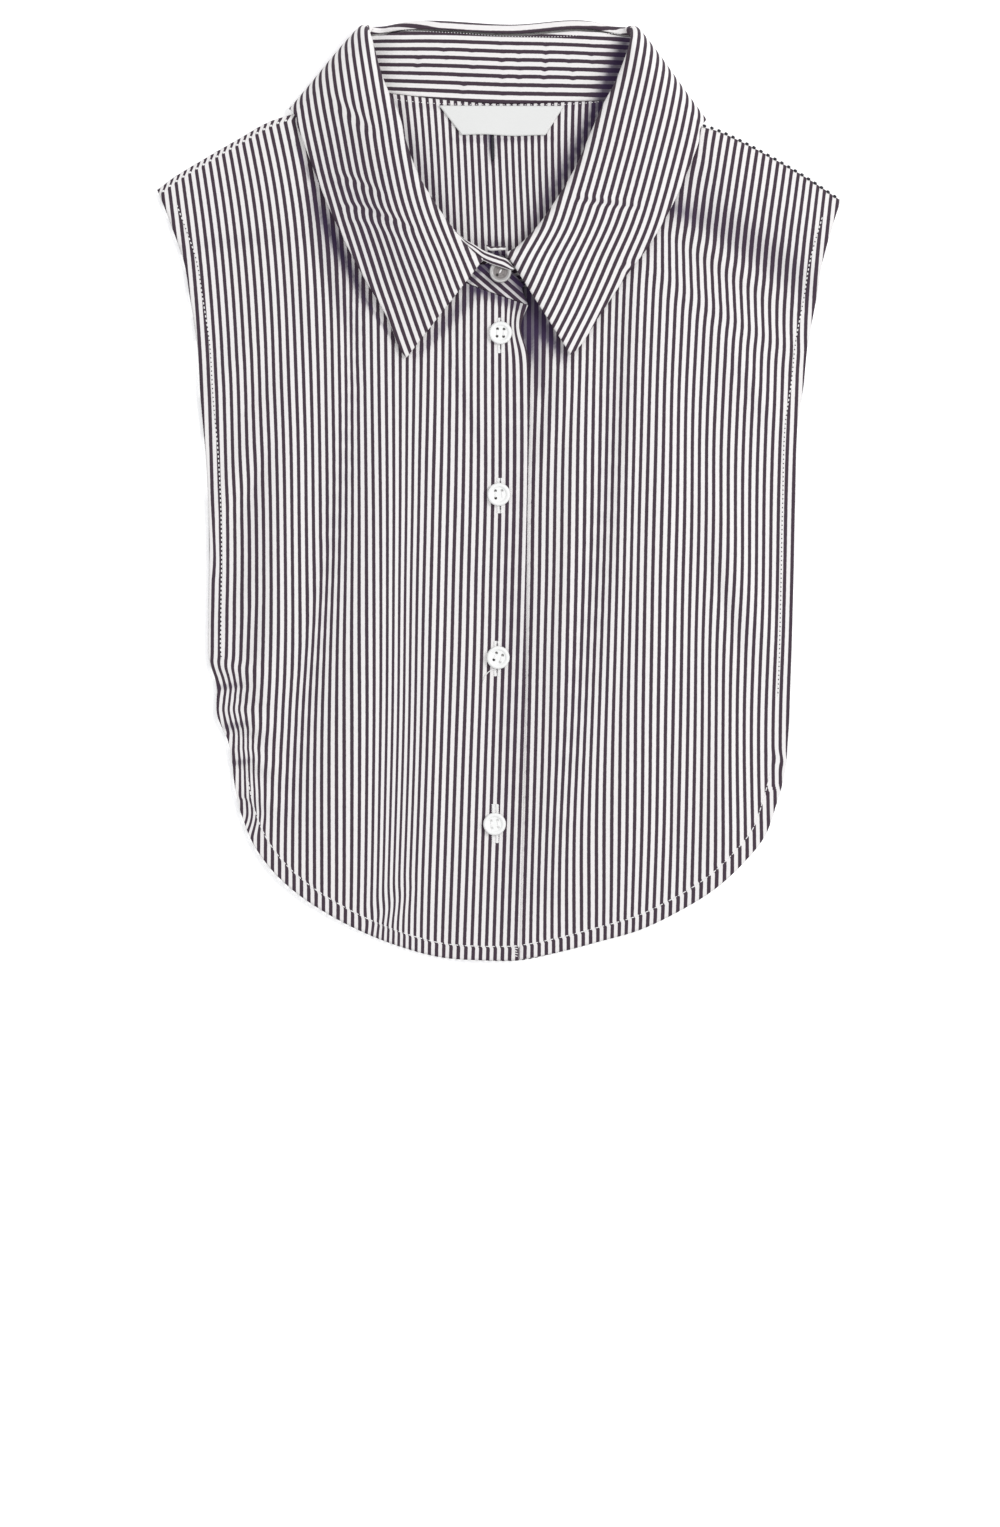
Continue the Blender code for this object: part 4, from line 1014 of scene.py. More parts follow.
# Small pulls of the stripes across the fronts, in millimetres, on paths written as the folds are
FRONT_DRAGS = {
    "ruffle 1": ((-137, -84), (-129, -84), (-118, -85), 3.4, 3, 0.6),
    "ruffle gap 1": ((-137, -95), (-129, -94), (-118, -93), 2.8, 3, -0.6),
    "ruffle 2": ((-134, -104), (-126, -104), (-116, -104), 3.4, 3, 0.6),
    "ruffle gap 2": ((-132, -114.5), (-124, -114), (-115, -113), 2.8, 3, -0.6),
    "ruffle 3": ((-129, -123), (-122, -123), (-113, -123), 3, 3, 0.5),
    "right notch": ((131, -126), (134, -128), (138, -131), 2.5, 2.5, -0.8),
    "above the right crease": ((68, 132), (96, 111), (128, 90), 5.5, 5.5, 0.6),
    "below the right crease": ((72, 108), (104, 82), (147, 64), 6, 6.5, -0.72),
    "beside the right leaf": ((92, 166), (96, 159), (99, 150), 5, 5, -0.5),
    "left armhole": ((-143, -6), (-139, -22), (-136, -38), 3.5, 3.5, -1),
    "left hem": ((-66, -210), (-55, -201), (-44, -190), 5, 5, -0.8),
    "left chest": ((-67, 98), (-68.5, 76), (-68, 56), 4.5, 4.5, 0.5),
    "left waist": ((-97, -92), (-90, -64), (-82, -28), 5, 5, -0.5),
}
# Below this height the left edge runs inward, and its turned hem draws the nearest stripes along, but not farther
EDGE_TURN_Y = -81.0
EDGE_DRAWN_MOST = 4.4
EDGE_DRAWN_WIDE = (1.0, 14.0)


def edge_drawn(y, far):
    """How far the stripes beside the ruffled edge have moved inward with it, in millimetres."""
    side = along(LEFT_SIDE, OUTLINE_STEPS)[::-1]
    moved = np.interp(y, side[:, 1], side[:, 0]) - np.interp(EDGE_TURN_Y, side[:, 1], side[:, 0])
    moved = EDGE_DRAWN_MOST * np.tanh(np.maximum(moved, 0.0) / EDGE_DRAWN_MOST) * (y < EDGE_TURN_Y)
    return moved * (1 - smoothstep(far, *EDGE_DRAWN_WIDE))


def turned_in(far, start, end):
    """1 on a turned hem and 0 beyond it, by distance from the edge, softened between those two places."""
    return 1 - smoothstep(far, HEM_WIDE + start, HEM_WIDE + end)


def make_front(name, over, node, side):
    """A front on its form, with its stripes laid over the rolled shoulder and pulled where the cloth is drawn."""
    plan = front_net(over, *FRONT_NET)
    x, y = plan[..., 0], plan[..., 1]
    outline = (LEFT_SHOULDER, LEFT_SIDE, LEFT_HEM) if over else (RIGHT_SHOULDER, RIGHT_SIDE, RIGHT_HEM)
    (far, way), (from_side, _), (from_hem, _) = (beside(x, y, along(line, OUTLINE_STEPS)) for line in outline)
    roll = SHOULDER_ROLL[side]
    laid = unrolled(plan, far, way, roll)
    z = front_z(x, y, float(over)) + WALL - CLOTH_WALL - SHOULDER_DROP * roll_drop(far, roll) / roll
    hooked = SHOULDER_HOOK * (1 - smoothstep(far, *SHOULDER_HOOK_WIDE)) if over else 0.0
    drawn = (pinched(x, y) - edge_drawn(y, from_side) if over else 0.0) - hooked
    drawn = drawn + bells(x, y, FRONT_DRAGS.values())
    flat = panel_flat(side + " front", laid[..., 0] + drawn, laid[..., 1])
    turned, armhole = turned_in(from_hem, *HEM_SOFT), turned_in(from_side, *ARMHOLE_SOFT)
    flat[..., 0] -= HEM_SHIFT * turned
    # Painted shade of the folds, and the turned hems drawn a little darker
    groups = ["front"] if over else ["front", "under"]
    shade = shade_of(x, y, *groups) + HEM_SHADE * np.maximum(turned, ARMHOLE_SHADE_SHARE * armhole)
    made = cloth(name, np.dstack([plan, z]), flat, shade, cotton)
    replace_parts(made, node)
    return made


over_front = make_front("over_front", True, "front_over", "left")
under_front = make_front("under_front", False, "front_under", "right")

# %% [markdown]
# The fall is the part of the collar that shows: it turns over the stand's top in half an oval and comes down to
# its outer edge. It is two layers of cloth with a stiffener between, so it is thicker than the fronts.

# %% Fall
ROLL_FACES = 16
FALL_FACES = 50
ROWS_PER_SECTION = 16
# The drop's curve: how far it goes on up from the fold, how far it comes in at the edge, and how level it lands
DROP_START = 0.35
DROP_END = 0.4
DROP_LEAN = 0.6
# The fold at each side of the collar: its radius, and the place where the last white stripe slips over it
SIDE_FOLD = 4.6
LAST_WHITE = {"left leaf": (-61.5, 213.0), "right leaf": (63.0, 213.0)}
# Along the back of the neck: how many stripes the fold's top lies beyond the last white one, by place across
TOP_FOLD_X = (-62.0, -57.0, -49.5, -42.5, -35.0, -28.0, -14.0, 0.5, 14.0, 29.0, 41.0, 48.0, 53.0, 58.0, 62.5)
TOP_FOLD_STRIPES = (0.3, 0.6, 0.85, 1.15, 1.4, 1.65, 1.65, 1.55, 1.5, 1.5, 1.5, 1.3, 0.95, 0.6, 0.4)
TOP_FOLD_PITCH = 0.75
# Creases and dents of the leaves in millimetres, and the small pulls of their stripes
LEAF_CREASES = {
    "left leaf": ((-75, 136.5), (-61, 137.5), (-40, 126.5), 1.2, 1.2, 0.4),
    "left leaf, under it": ((-73, 131.5), (-61, 132.5), (-41.5, 121.5), 1.5, 1.5, -0.35),
    "left leaf, long dent": ((-78, 180), (-66, 150), (-48, 95), 6, 5, -0.5),
    "left leaf, edge swell": ((-84, 132), (-72, 112), (-58, 88), 3, 3, 0.6),
    "right leaf": ((36.5, 140.5), (50, 138.5), (67, 136.5), 1.4, 1.4, 0.35),
    "right leaf, long dent": ((70, 176), (58, 140), (40, 100), 6, 5, -0.45),
    "right leaf, low": ((32, 122), (38, 108), (42, 90), 3, 3, 0.4),
}
LEAF_DRAGS = {
    "left crease": ((-73.9, 135.4), (-61, 136.5), (-41, 125.3), 1.6, 1.6, 0.9),
    "left, over the crease": ((-76, 149.5), (-66, 148), (-55, 141), 1.8, 1.8, 0.7),
    "left, under the crease": ((-72, 129.5), (-60, 131), (-43, 120), 2, 2, -0.5),
    "left, high": ((-78, 186), (-68, 178), (-60, 172), 2.5, 2.5, 0.7),
    "right tuft": ((60, 107.5), (65, 106.5), (71, 107), 1.8, 1.8, 1),
    "right crease": ((37, 139.5), (50, 137.5), (66.5, 135.5), 1.5, 1.5, 0.8),
}


def fall_net(rows, roll_faces, fall_faces):
    """Half an oval over the stand's top, then a soft curve down to the outer edge, for every section."""
    core, up, out, edge, _, roll_out, roll_up = collar_frame(rows)
    angle = np.linspace(-0.5, 0.5, roll_faces + 1)[:, None, None] * math.pi
    roll = core[None] + np.sin(angle) * (roll_up * out)[None] + np.cos(angle) * (roll_out * up)[None]
    start = core + roll_up * out
    length = np.linalg.norm(edge - start, axis=1, keepdims=True)
    lean = (edge - start) / length
    flat_lean = unit(lean - (lean * out).sum(axis=1, keepdims=True) * out)
    t = np.linspace(0, 1, fall_faces + 1)[1:]
    landing = edge - DROP_END * length * (DROP_LEAN * lean + (1 - DROP_LEAN) * flat_lean)
    fall = bezier([start, start - DROP_START * length * up, landing, edge], t)
    points = np.concatenate([roll, fall])
    points[..., 2] = np.maximum(points[..., 2], FALL_WALL / 2)
    return points


def reach_from_edge(points):
    """Length along each section from the outer edge up to every point of it."""
    steps = np.linalg.norm(np.diff(points, axis=0), axis=-1)
    return np.concatenate([np.cumsum(steps[::-1], axis=0)[::-1], np.zeros((1, points.shape[1]))])


def collar_flat(points, shear):
    """Flat coordinates of the collar: stripes counted up from the outer edge, and length along that edge."""
    across = reach_from_edge(points) * shear[None]
    edge = distances(points[-1])
    return np.stack([across / STRIPE_PITCH, np.broadcast_to(edge / STRIPE_PITCH, across.shape)], axis=-1)


def side_unrolled(points, rows, corner):
    """Plan places of the fall with the fold at a side of the collar laid flat."""
    line = points[:, np.abs(rows - collar_row(corner)).argmin(), :2]
    along_fold = unit(line[0] - line[-1])
    normal = np.array([-along_fold[1], along_fold[0]]) * (1 if line[0, 0] < 0 else -1)
    far = np.maximum((line[:, None] - points[..., :2]) @ normal, 0)
    return unrolled(points[..., :2], far, normal, SIDE_FOLD)


def top_fold_flat(points, rows, last_white):
    """Stripes on the fold behind the neck, where they run along it and slip over its top one after the other."""
    reach = reach_from_edge(points)
    rim = np.full(points.shape[1], ROLL_FACES // 2)
    beyond = np.interp(points[ROLL_FACES // 2, :, 0], TOP_FOLD_X, TOP_FOLD_STRIPES)
    from_rim = (reach - reach[rim, np.arange(len(rim))]) / STRIPE_PITCH
    return last_white - beyond + from_rim * np.where(from_rim > 0, TOP_FOLD_PITCH, 1.0)


def fall_flat(points, rows, lean):
    """Flat coordinates of the fall: each point has its own grain, and behind the neck the stripes run along it."""
    flat = collar_flat(points, lean)
    left_plan, right_plan = (side_unrolled(points, rows, corner) for corner in ("left corner", "right corner"))
    left_stripes = stripes("left leaf", left_plan[..., 0], left_plan[..., 1])
    right_stripes = stripes("right leaf", right_plan[..., 0], right_plan[..., 1])
    last_white, last_right = (np.round(stripes(leaf, *place)) for leaf, place in LAST_WHITE.items())
    right_stripes += last_white - last_right
    dragged = bells(points[..., 0], points[..., 1], LEAF_DRAGS.values()) / STRIPE_PITCH
    left_stripes -= dragged
    right_stripes += dragged
    left = 1 - smoothstep(rows, collar_row("left corner"), collar_row("left back corner"))[None]
    right = smoothstep(rows, collar_row("right back corner"), collar_row("right corner"))[None]
    behind = top_fold_flat(points, rows, last_white)
    flat[..., 0] = left * left_stripes + right * right_stripes + (1 - left - right) * behind
    return flat


def fall_shade(points, rows):
    """Painted shade of the leaves: along their creases and over the sides that face away from the light, most on the
    left one, none behind the neck.
    """
    facing = (rows > collar_row("left corner")) & (rows < collar_row("right corner"))
    return shade_of(points[..., 0], points[..., 1], "fall") * ~facing[None]


fall_rows = section_rows("left end", "right end", ROWS_PER_SECTION)
fall_points = fall_net(fall_rows, ROLL_FACES, FALL_FACES)
on_leaves = (fall_rows < collar_row("left 6")) | (fall_rows > collar_row("right 6"))
fall_points[..., 2] += bells(fall_points[..., 0], fall_points[..., 1], LEAF_CREASES.values()) * on_leaves
edge_way = unit(np.gradient(fall_points[-1], axis=0))
up_way = unit(fall_points[ROLL_FACES + 2] - fall_points[-1])
lean = np.linalg.norm(np.cross(edge_way, up_way), axis=1)
flat = fall_flat(fall_points, fall_rows, lean)
shade = fall_shade(fall_points, fall_rows)
fall = cloth("turned_down_collar", fall_points, flat, shade, cotton, wall=WALL, offset=0.0)
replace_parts(fall, "collar_fall")

# %% [markdown]
# The stand is the band inside the neck. At the front its two ends lap as tabs, one over the other.

# %% Stand
STAND_FACES = 24
STAND_WALL = 0.8
STAND_START = 0.35
STAND_END = 0.3
# Row numbers of the collar's table: where the band behind the neck starts and ends, and where the tabs end
BEHIND_ROWS = ((10.2, 11.0), (17.0, 17.8))
INSIDE_ROWS = (9.0, 19.0)
TAB_ROWS = (4.0, 5.0)
UNDER_TAB_ROW = 22.0
# The front tab's stripes run down to the right: counted along this normal, in their own closer pitch
TAB_NORMAL = (0.7026, 0.8086)
TAB_ORIGIN = -77.85
# The lining behind the neck is a little rumpled across, each crease drawn as a thin line of painted shade
CREASE_SHADE = 1.2
CREASE_PULL = 0.8
STAND_CREASES = {
    "far left": ((-39, 209), (-38.6, 203), (-38.3, 197), 0.8, 0.7, 0.14),
    "left": ((-26.5, 214), (-26, 209), (-25.7, 204), 0.8, 0.7, 0.12),
    "left, low": ((-17.5, 198), (-17, 193), (-17, 188), 0.8, 0.7, 0.13),
    "middle": ((1, 214), (1.5, 201), (2, 188), 0.8, 0.7, 0.14),
    "right of it": ((9, 212), (9.5, 201), (10, 189), 0.8, 0.7, 0.12),
    "right": ((22.5, 213), (21.5, 201), (22, 189), 0.9, 0.8, 0.16),
    "far right": ((33, 207), (35, 200), (36, 192), 0.8, 0.7, 0.14),
    "between left and middle": ((-13, 213), (-12.4, 207), (-12.6, 200), 0.7, 0.6, 0.1),
    "far right, high": ((44, 214), (44.5, 208), (44.2, 203), 0.7, 0.7, 0.12),
}


def stand_net(rows, faces):
    """From just under the fold's inner end down to the neck seam, which it meets level."""
    core, up, out, _, seam, _, roll_up = collar_frame(rows)
    top = core - roll_up * out - FOLD_GAP * up
    length = np.linalg.norm(top - seam, axis=1, keepdims=True)
    level = top - seam
    level[:, 2] = 0
    t = np.linspace(0, 1, faces + 1)
    return bezier([top, top - STAND_START * length * up, seam + STAND_END * length * unit(level), seam], t)


def stand_flat(points, rows):
    """Flat coordinates of the stand: its own grain behind the neck and on the tabs, plain between them."""
    flat = collar_flat(points, np.ones(len(rows)))
    x, y = points[..., 0], points[..., 1]
    behind = smoothstep(rows, *BEHIND_ROWS[0]) * (1 - smoothstep(rows, *BEHIND_ROWS[1]))
    tabs = 1 - smoothstep(rows, *TAB_ROWS)
    slanted = (x * TAB_NORMAL[0] + y * TAB_NORMAL[1] + TAB_ORIGIN) / STRIPE_PITCH
    flat[..., 0] += behind[None] * (stripes("stand back", x, y) - flat[..., 0])
    flat[..., 0] += tabs[None] * (slanted - flat[..., 0])
    flat[..., 0] += behind[None] * bells(x, y, STAND_CREASES.values()) * CREASE_PULL
    return flat


def is_inside(rows):
    """Whether a section lies behind the neck, where the stand's inner side shows."""
    return (rows > INSIDE_ROWS[0]) & (rows < INSIDE_ROWS[1])


def stand_shade(points, rows):
    """Painted shade of the stand: the neck's own and its creases' behind the neck, and each tab's at the front."""
    x, y = points[..., 0], points[..., 1]
    painted_neck_shade = shade_of(x, y, "inside") + CREASE_SHADE * bells(x, y, STAND_CREASES.values())
    over_tab = shade_of(x, y, "tab") * (rows < TAB_ROWS[1])[None]
    under_tab = shade_of(x, y, "under tab") * (rows > UNDER_TAB_ROW)[None]
    return painted_neck_shade * is_inside(rows)[None] + over_tab + under_tab


stand_rows = section_rows("over tab end", "under tab end", STAND_FACES)
stand_points = stand_net(stand_rows, STAND_FACES)
flat = stand_flat(stand_points, stand_rows)
shade = stand_shade(stand_points, stand_rows)
stand = cloth("collar_stand_band", stand_points, flat, shade, cotton, wall=STAND_WALL, offset=0.0)
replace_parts(stand, "collar_stand")

# %% [markdown]
# The tabs' top edges curl over as narrow lips. The over tab's lip crosses in front of the small button, and the
# under tab's lip shows as a white line behind it. Each is a strip between two lines with a rounded crown.

# %% Lips of the tabs
OVER_LIP_TOP = [
    (-21.4, 123.8), (-16.2, 119.4), (-11.4, 116.8), (-7, 114.1), (-3.3, 112.7), (0.5, 111.4), (3.7, 110.2),
    (5.5, 108.3), (6.9, 106.2),
]
OVER_LIP_FOOT = [
    (-21.4, 123.3), (-16.2, 117.9), (-11.4, 113.3), (-8.1, 110.4), (-4.3, 108.5), (0.5, 106.9), (3.3, 105.9),
    (5.5, 105.4), (7, 105.6),
]
UNDER_LIP_TOP = [(-6, 117), (-4.3, 116.3), (-1, 116.2), (3.2, 116.3)]
UNDER_LIP_FOOT = [(-5.5, 115.3), (-4.3, 114.7), (-1, 114.8), (3.2, 115)]
LIP_STEPS = 70
LIP_ROWS = 13
LIP_WALL = 0.4
LIP_RIPPLE = 0.12
LIP_WAVES = 19
# Height of the over tab's lip above the table, by share of its length
OVER_LIP_HEIGHT = ((0, 0.35, 0.75, 1), (9.6, 9.4, 9.3, 8.4))
UNDER_LIP_HEIGHT = ((0, 1), (6.6, 6.6))


def lip(name, foot, top, height, crown, stripes_range):
    """A strip of cloth from its foot line to its top line, rounded across, with its stripes along it."""
    foot, top = along(foot, LIP_STEPS), along(top, LIP_STEPS)
    t = np.linspace(0, 1, LIP_ROWS)[:, None]
    plan = foot[None] * (1 - t[..., None]) + top[None] * t[..., None]
    ripple = LIP_RIPPLE * np.sin(np.linspace(0, LIP_WAVES, LIP_STEPS + 1))[None] * np.sin(2 * math.pi * t)
    z = np.interp(np.linspace(0, 1, LIP_STEPS + 1), *height)[None] + crown * np.sin(math.pi * t) + ripple
    first, last = stripes_range
    across = np.broadcast_to(first + (last - first) * t, z.shape)
    flat = np.dstack([across, np.broadcast_to(distances(foot) / STRIPE_PITCH, z.shape)])
    return cloth(name, np.dstack([plan, z]), flat, np.zeros(z.shape), cotton, wall=LIP_WALL)


over_lip = lip("over_tab_lip", OVER_LIP_FOOT, OVER_LIP_TOP, OVER_LIP_HEIGHT, 0.8, (0.12, 2.1))
under_lip = lip("under_tab_lip", UNDER_LIP_FOOT, UNDER_LIP_TOP, UNDER_LIP_HEIGHT, 0.5, (-0.22, 0.6))

# %% [markdown]
# Buttons. Each is a turned profile with its four holes pressed into it: a rim, a dish and a rounded side. The
# thread that holds it passes from hole to hole. The one on the stand is smaller, grey and ringed like shell.
# The open holes are darkened with painted shade.

# %% Buttons
# The face's profile: how far out, as a share of the radius, and how high above the foot
BUTTON_PROFILE_OUT = (0.0, 0.30, 0.60, 0.70, 0.80, 0.90, 0.97, 1.0)
BUTTON_PROFILE_UP = (1.35, 1.35, 1.38, 1.95, 2.15, 2.05, 1.65, 1.0)
# The holes are measured on a button of this radius
FULL_RADIUS = 5.5
HOLE_RADIUS = 0.66
HOLES = ((-1.55, 1.75), (1.55, 1.75), (-1.55, -1.75), (1.55, -1.75))
HOLE_DEPTH = 1.1
HOLE_SOFT = (0.75, 1.15)
TURN_STEPS = 96
UNDER_SHARE, UNDER_UP = 0.96, 0.2
BUTTON_GAP = 0.35


def turned(across, upward, spin):
    """A place on a button after it is turned by spin."""
    return across * math.cos(spin) - upward * math.sin(spin), across * math.sin(spin) + upward * math.cos(spin)


def button_mesh(name, centre, radius, spin, rise_by, open_holes):
    """Rings of points from the middle of the face out to the side and back under, with the holes pressed in.

    open_holes says how deep each hole is pressed and how dark its painted shade is: 1 where it is open, less where
    thread fills it."""
    out = np.concatenate([np.linspace(0.001, 0.72, 44), np.linspace(0.74, 1.0, 14)])
    turn = -np.linspace(0, math.tau, TURN_STEPS, endpoint=False)
    x, y = radius * out[:, None] * np.cos(turn), radius * out[:, None] * np.sin(turn)
    z = np.interp(out, BUTTON_PROFILE_OUT, BUTTON_PROFILE_UP)[:, None] + 0 * x
    pit = np.zeros(x.shape)
    for (across, upward), dark in zip(HOLES, open_holes):
        hole_x, hole_y = (place * radius / FULL_RADIUS for place in turned(across, upward, spin))
        start, end = (HOLE_RADIUS * soft for soft in HOLE_SOFT)
        pit += dark * (1 - smoothstep(np.hypot(x - hole_x, y - hole_y), start, end))
    z = z - HOLE_DEPTH * pit
    face = np.dstack([x, y, z])
    under = np.dstack([x[::-6] * UNDER_SHARE, y[::-6] * UNDER_SHARE, np.full(x[::-6].shape, UNDER_UP)])
    points = np.concatenate([face, under]) + np.array([*centre, rise_by])
    mesh = mesh_of(name, drawn_in(points).reshape(-1, 3), net_faces(len(points), len(turn), closed=True))
    painted_hole_shade = np.concatenate([pit, np.zeros(under.shape[:2])]).clip(0, 1)
    ring = np.concatenate([np.broadcast_to(out[:, None], x.shape), np.ones(under.shape[:2])])
    painted(mesh, "shade", painted_hole_shade)
    painted(mesh, "ring", ring)
    return mesh


def white_plastic(name):
    """Glossy white, with painted shade in the holes."""
    material, shader, start = new_material(name)
    shade = read_number(start, "shade")
    into(shader, Base_Color=mixed(shade, (0.93, 0.93, 0.915, 1.0), (0.06, 0.05, 0.05, 1.0)), Roughness=0.34)
    return material


def grey_shell(name):
    """Grey shell: wavy rings round the middle, a darker dish and a pale rim, with painted shade in the holes."""
    material, shader, start = new_material(name)
    shade = read_number(start, "shade")
    ring = read_number(start, "ring")
    place = Thread(start.tree, start.tree.nodes.new("ShaderNodeTexCoord").outputs["Object"])
    cloud = start.node("TexNoise", Vector=place, Scale=420.0, Detail=2.0)
    bands = (ring * 31.0 + cloud * 5.0).maths("SINE").ramp(-1.0, 1.0)
    dish = ring.ramp(0.55, 0.82)
    grey = mixed(dish, (0.26, 0.235, 0.23, 1.0), (0.62, 0.61, 0.60, 1.0))
    ringed = mixed(bands * 0.45, grey, (0.17, 0.155, 0.15, 1.0))
    into(shader, Base_Color=mixed(shade * 0.75, ringed, (0.05, 0.045, 0.045, 1.0)), Roughness=0.25)
    return material


button_white = white_plastic("white buttons")
button_grey = grey_shell("grey shell button")
# name: place, radius, turn in degrees, and how open its holes are, which sets their depth and painted shade
FRONT_BUTTONS = {
    "button_1": ((0.7, 75.4), 5.5, -3, (0.95, 0.9, 0.95, 0.9)),
    "button_2": ((-0.1, -1.6), 5.5, 2, (0.8, 0.5, 1, 0)),
    "button_3": ((-0.4, -79.3), 5.5, -21, (0.8, 0.7, 1, 0.35)),
    "button_4": ((-2.1, -158.6), 5.4, 6, (0.3, 0.3, 0.25, 0.25)),
}


def button_foot(place):
    """Height at which a front's button sits."""
    return float(front_z(np.array(place[0]), np.array(place[1]), 1.0)) + WALL + BUTTON_GAP


for name, (place, radius, turn, open_holes) in FRONT_BUTTONS.items():
    mesh = button_mesh(name + "_face", place, radius, math.radians(turn), button_foot(place), open_holes)
    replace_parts(linked(name + "_face", mesh, button_white), name)
STAND_BUTTON = (0.7, 104.5)
STAND_BUTTON_RADIUS = 5.3
STAND_BUTTON_TURN = -4.0
STAND_BUTTON_HOLES = (0.15, 0.2, 1.0, 0.2)
STAND_BUTTON_GAP = 0.6
tab = stand_points[:, stand_rows <= TAB_ROWS[1]].reshape(-1, 3)
tab_height = float(tab[np.hypot(tab[:, 0] - STAND_BUTTON[0], tab[:, 1] - STAND_BUTTON[1]).argmin(), 2])
mesh = button_mesh(
    "stand_button_face",
    STAND_BUTTON,
    STAND_BUTTON_RADIUS,
    math.radians(STAND_BUTTON_TURN),
    tab_height + STAND_BUTTON_GAP,
    STAND_BUTTON_HOLES,
)
stand_button = linked("stand_button_face", mesh, button_grey)
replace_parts(stand_button, "stand_button")
print("tab height in mm:", round(tab_height, 2))

# %% [markdown]
# Stitches. One stitch is a short thread with rounded ends, made once from a few rings of points, and a row of
# them is that stitch laid between each pair of its points. The seams, the buttonholes and the thread through the
# buttons are all rows of it.

# %% Stitches
# A stitch is a point at each end and three rings of six between them, 20 points in all
RING = 6
RING_PLACES = (0.12, 0.5, 0.88)
RING_SIZES = (0.8, 1.0, 0.8)
STITCH_POINTS = 2 + RING * len(RING_PLACES)
FIRST_STITCH = 0.4
SEAM_STEPS = 400
# Each seam's distance from its edge, its stitches' pitch, the share of it that they cover, and their radius
SEAM_IN = 6.7
ARMHOLE_IN = 5.9
HEM_STITCH = (2.5, 0.84, 0.26)
ARMHOLE_STITCH = (2.1, 0.62, 0.3)
ARMHOLE_LIFT = 0.08
# A needle hole fills this part of the gap between two stitches, and is this flat: a near-black mark of painted shade
HOLE_ENDS = (0.12, 0.88)
HOLE_SQUASH = 0.3
# The hems' seams stop at the placket, and the armholes' between these heights
HEM_ENDS_X = (9.0, 11.0)
ARMHOLE_ENDS_Y = ((-83, 137), (-100, 131))


def stitch_row(name, starts, ends, radius, finish, squash=0.7):
    """One mesh of stitches, each from a start to an end, in millimetres."""
    starts, ends = np.asarray(starts, float), np.asarray(ends, float)
    turn = np.arange(RING) * math.tau / RING
    t = np.concatenate([[0.0], np.repeat(RING_PLACES, RING), [1.0]])
    size = np.concatenate([[0.0], np.repeat(RING_SIZES, RING), [0.0]])
    turn = np.concatenate([[0.0], np.tile(turn, len(RING_PLACES)), [0.0]])
    way = ends - starts
    side = unit(np.cross(way, [0.0, 0.0, 1.0]))
    lift = unit(np.cross(side, way))
    level, upright = ((size * wave(turn))[None, :, None] for wave in (np.cos, np.sin))
    ring = side[:, None] * level + squash * lift[:, None] * upright
    points = starts[:, None] + way[:, None] * t[None, :, None] + radius * ring
    i = np.arange(RING)
    j = (i + 1) % RING
    rings = (1, 1 + RING)
    last_ring = 1 + 2 * RING
    first = np.stack([np.zeros(RING, int), 1 + j, 1 + i], axis=1)
    last = np.stack([np.full(RING, STITCH_POINTS - 1), last_ring + i, last_ring + j], axis=1)
    between = [np.stack([k + i, k + j, k + RING + j], axis=1) for k in rings]
    between += [np.stack([k + i, k + RING + j, k + RING + i], axis=1) for k in rings]
    faces = np.concatenate([first, *between, last])
    faces = faces[None] + STITCH_POINTS * np.arange(len(starts))[:, None, None]
    mesh = mesh_of(name, drawn_in(points).reshape(-1, 3), faces)
    made = linked(name, mesh, finish)
    print(name, "stitches:", len(starts))
    return made


def marks(path, pitch, share):
    """Starts and ends of stitches along a line of points: one every pitch, each covering that share of it."""
    length = distances(path)
    first = np.arange(FIRST_STITCH, length[-1] - pitch, pitch)
    return at_lengths(path, length, first), at_lengths(path, length, first + pitch * share)


def on_front(line, over, lift=0.05):
    """A line in plan, raised onto a front's outer side."""
    line = np.asarray(line, float)
    z = front_z(line[:, 0], line[:, 1], float(over)) + WALL + lift
    return np.column_stack([line, z])


def set_in(line, by):
    """A line moved to its left by that many millimetres."""
    way = unit(np.gradient(line, axis=0))
    return line + by * np.stack([-way[:, 1], way[:, 0]], axis=1)


def thread_finish(name, colour):
    """Sewing thread: its own colour, a little darker between the twists."""
    material, shader, start = new_material(name)
    place = Thread(start.tree, start.tree.nodes.new("ShaderNodeTexCoord").outputs["Object"])
    twist = start.node("TexNoise", Vector=place, Scale=3000.0, Detail=1.0)
    into(shader, Base_Color=mixed(twist, tuple(0.9 * c for c in colour) + (1.0,), colour + (1.0,)), Roughness=0.6)
    return material


white_thread = thread_finish("white thread", (0.95, 0.94, 0.93))
# Near black for painted shade: the needle holes, the dart's slit and the right shoulder's stripe ends as they turn
# under
near_black_shade = thread_finish("needle holes", (0.012, 0.009, 0.018))

left_hem = set_in(along(LEFT_HEM + LEFT_SIDE[::-1][1:3], SEAM_STEPS), -SEAM_IN)
right_hem = set_in(along(RIGHT_HEM + RIGHT_SIDE[::-1][1:2], SEAM_STEPS), SEAM_IN)
hems = left_hem[left_hem[:, 0] < HEM_ENDS_X[0]], right_hem[right_hem[:, 0] > HEM_ENDS_X[1]]
arms = (set_in(along(line, SEAM_STEPS), by) for line, by in ((LEFT_SIDE, ARMHOLE_IN), (RIGHT_SIDE, -ARMHOLE_IN)))
arms = [arm[(arm[:, 1] > low) & (arm[:, 1] < high)] for arm, (low, high) in zip(arms, ARMHOLE_ENDS_Y)]
sewn = {"left": [], "right": []}
pitch, share, radius = HEM_STITCH
for side, path in zip(sewn, hems):
    starts, ends = marks(on_front(path, side == "left"), pitch, share)
    sewn[side].append(stitch_row(side + "_hem_stitches", starts, ends, radius, white_thread))
pitch, share, radius = ARMHOLE_STITCH
for side, path in zip(sewn, arms):
    starts, ends = marks(on_front(path, side == "left", ARMHOLE_LIFT), pitch, share)
    sewn[side].append(stitch_row(side + "_armhole_stitches", starts, ends, radius, white_thread))
    first, last = (ends[:-1] + share * (starts[1:] - ends[:-1]) for share in HOLE_ENDS)
    sewn[side].append(stitch_row(side + "_armhole_holes", first, last, radius, near_black_shade, HOLE_SQUASH))
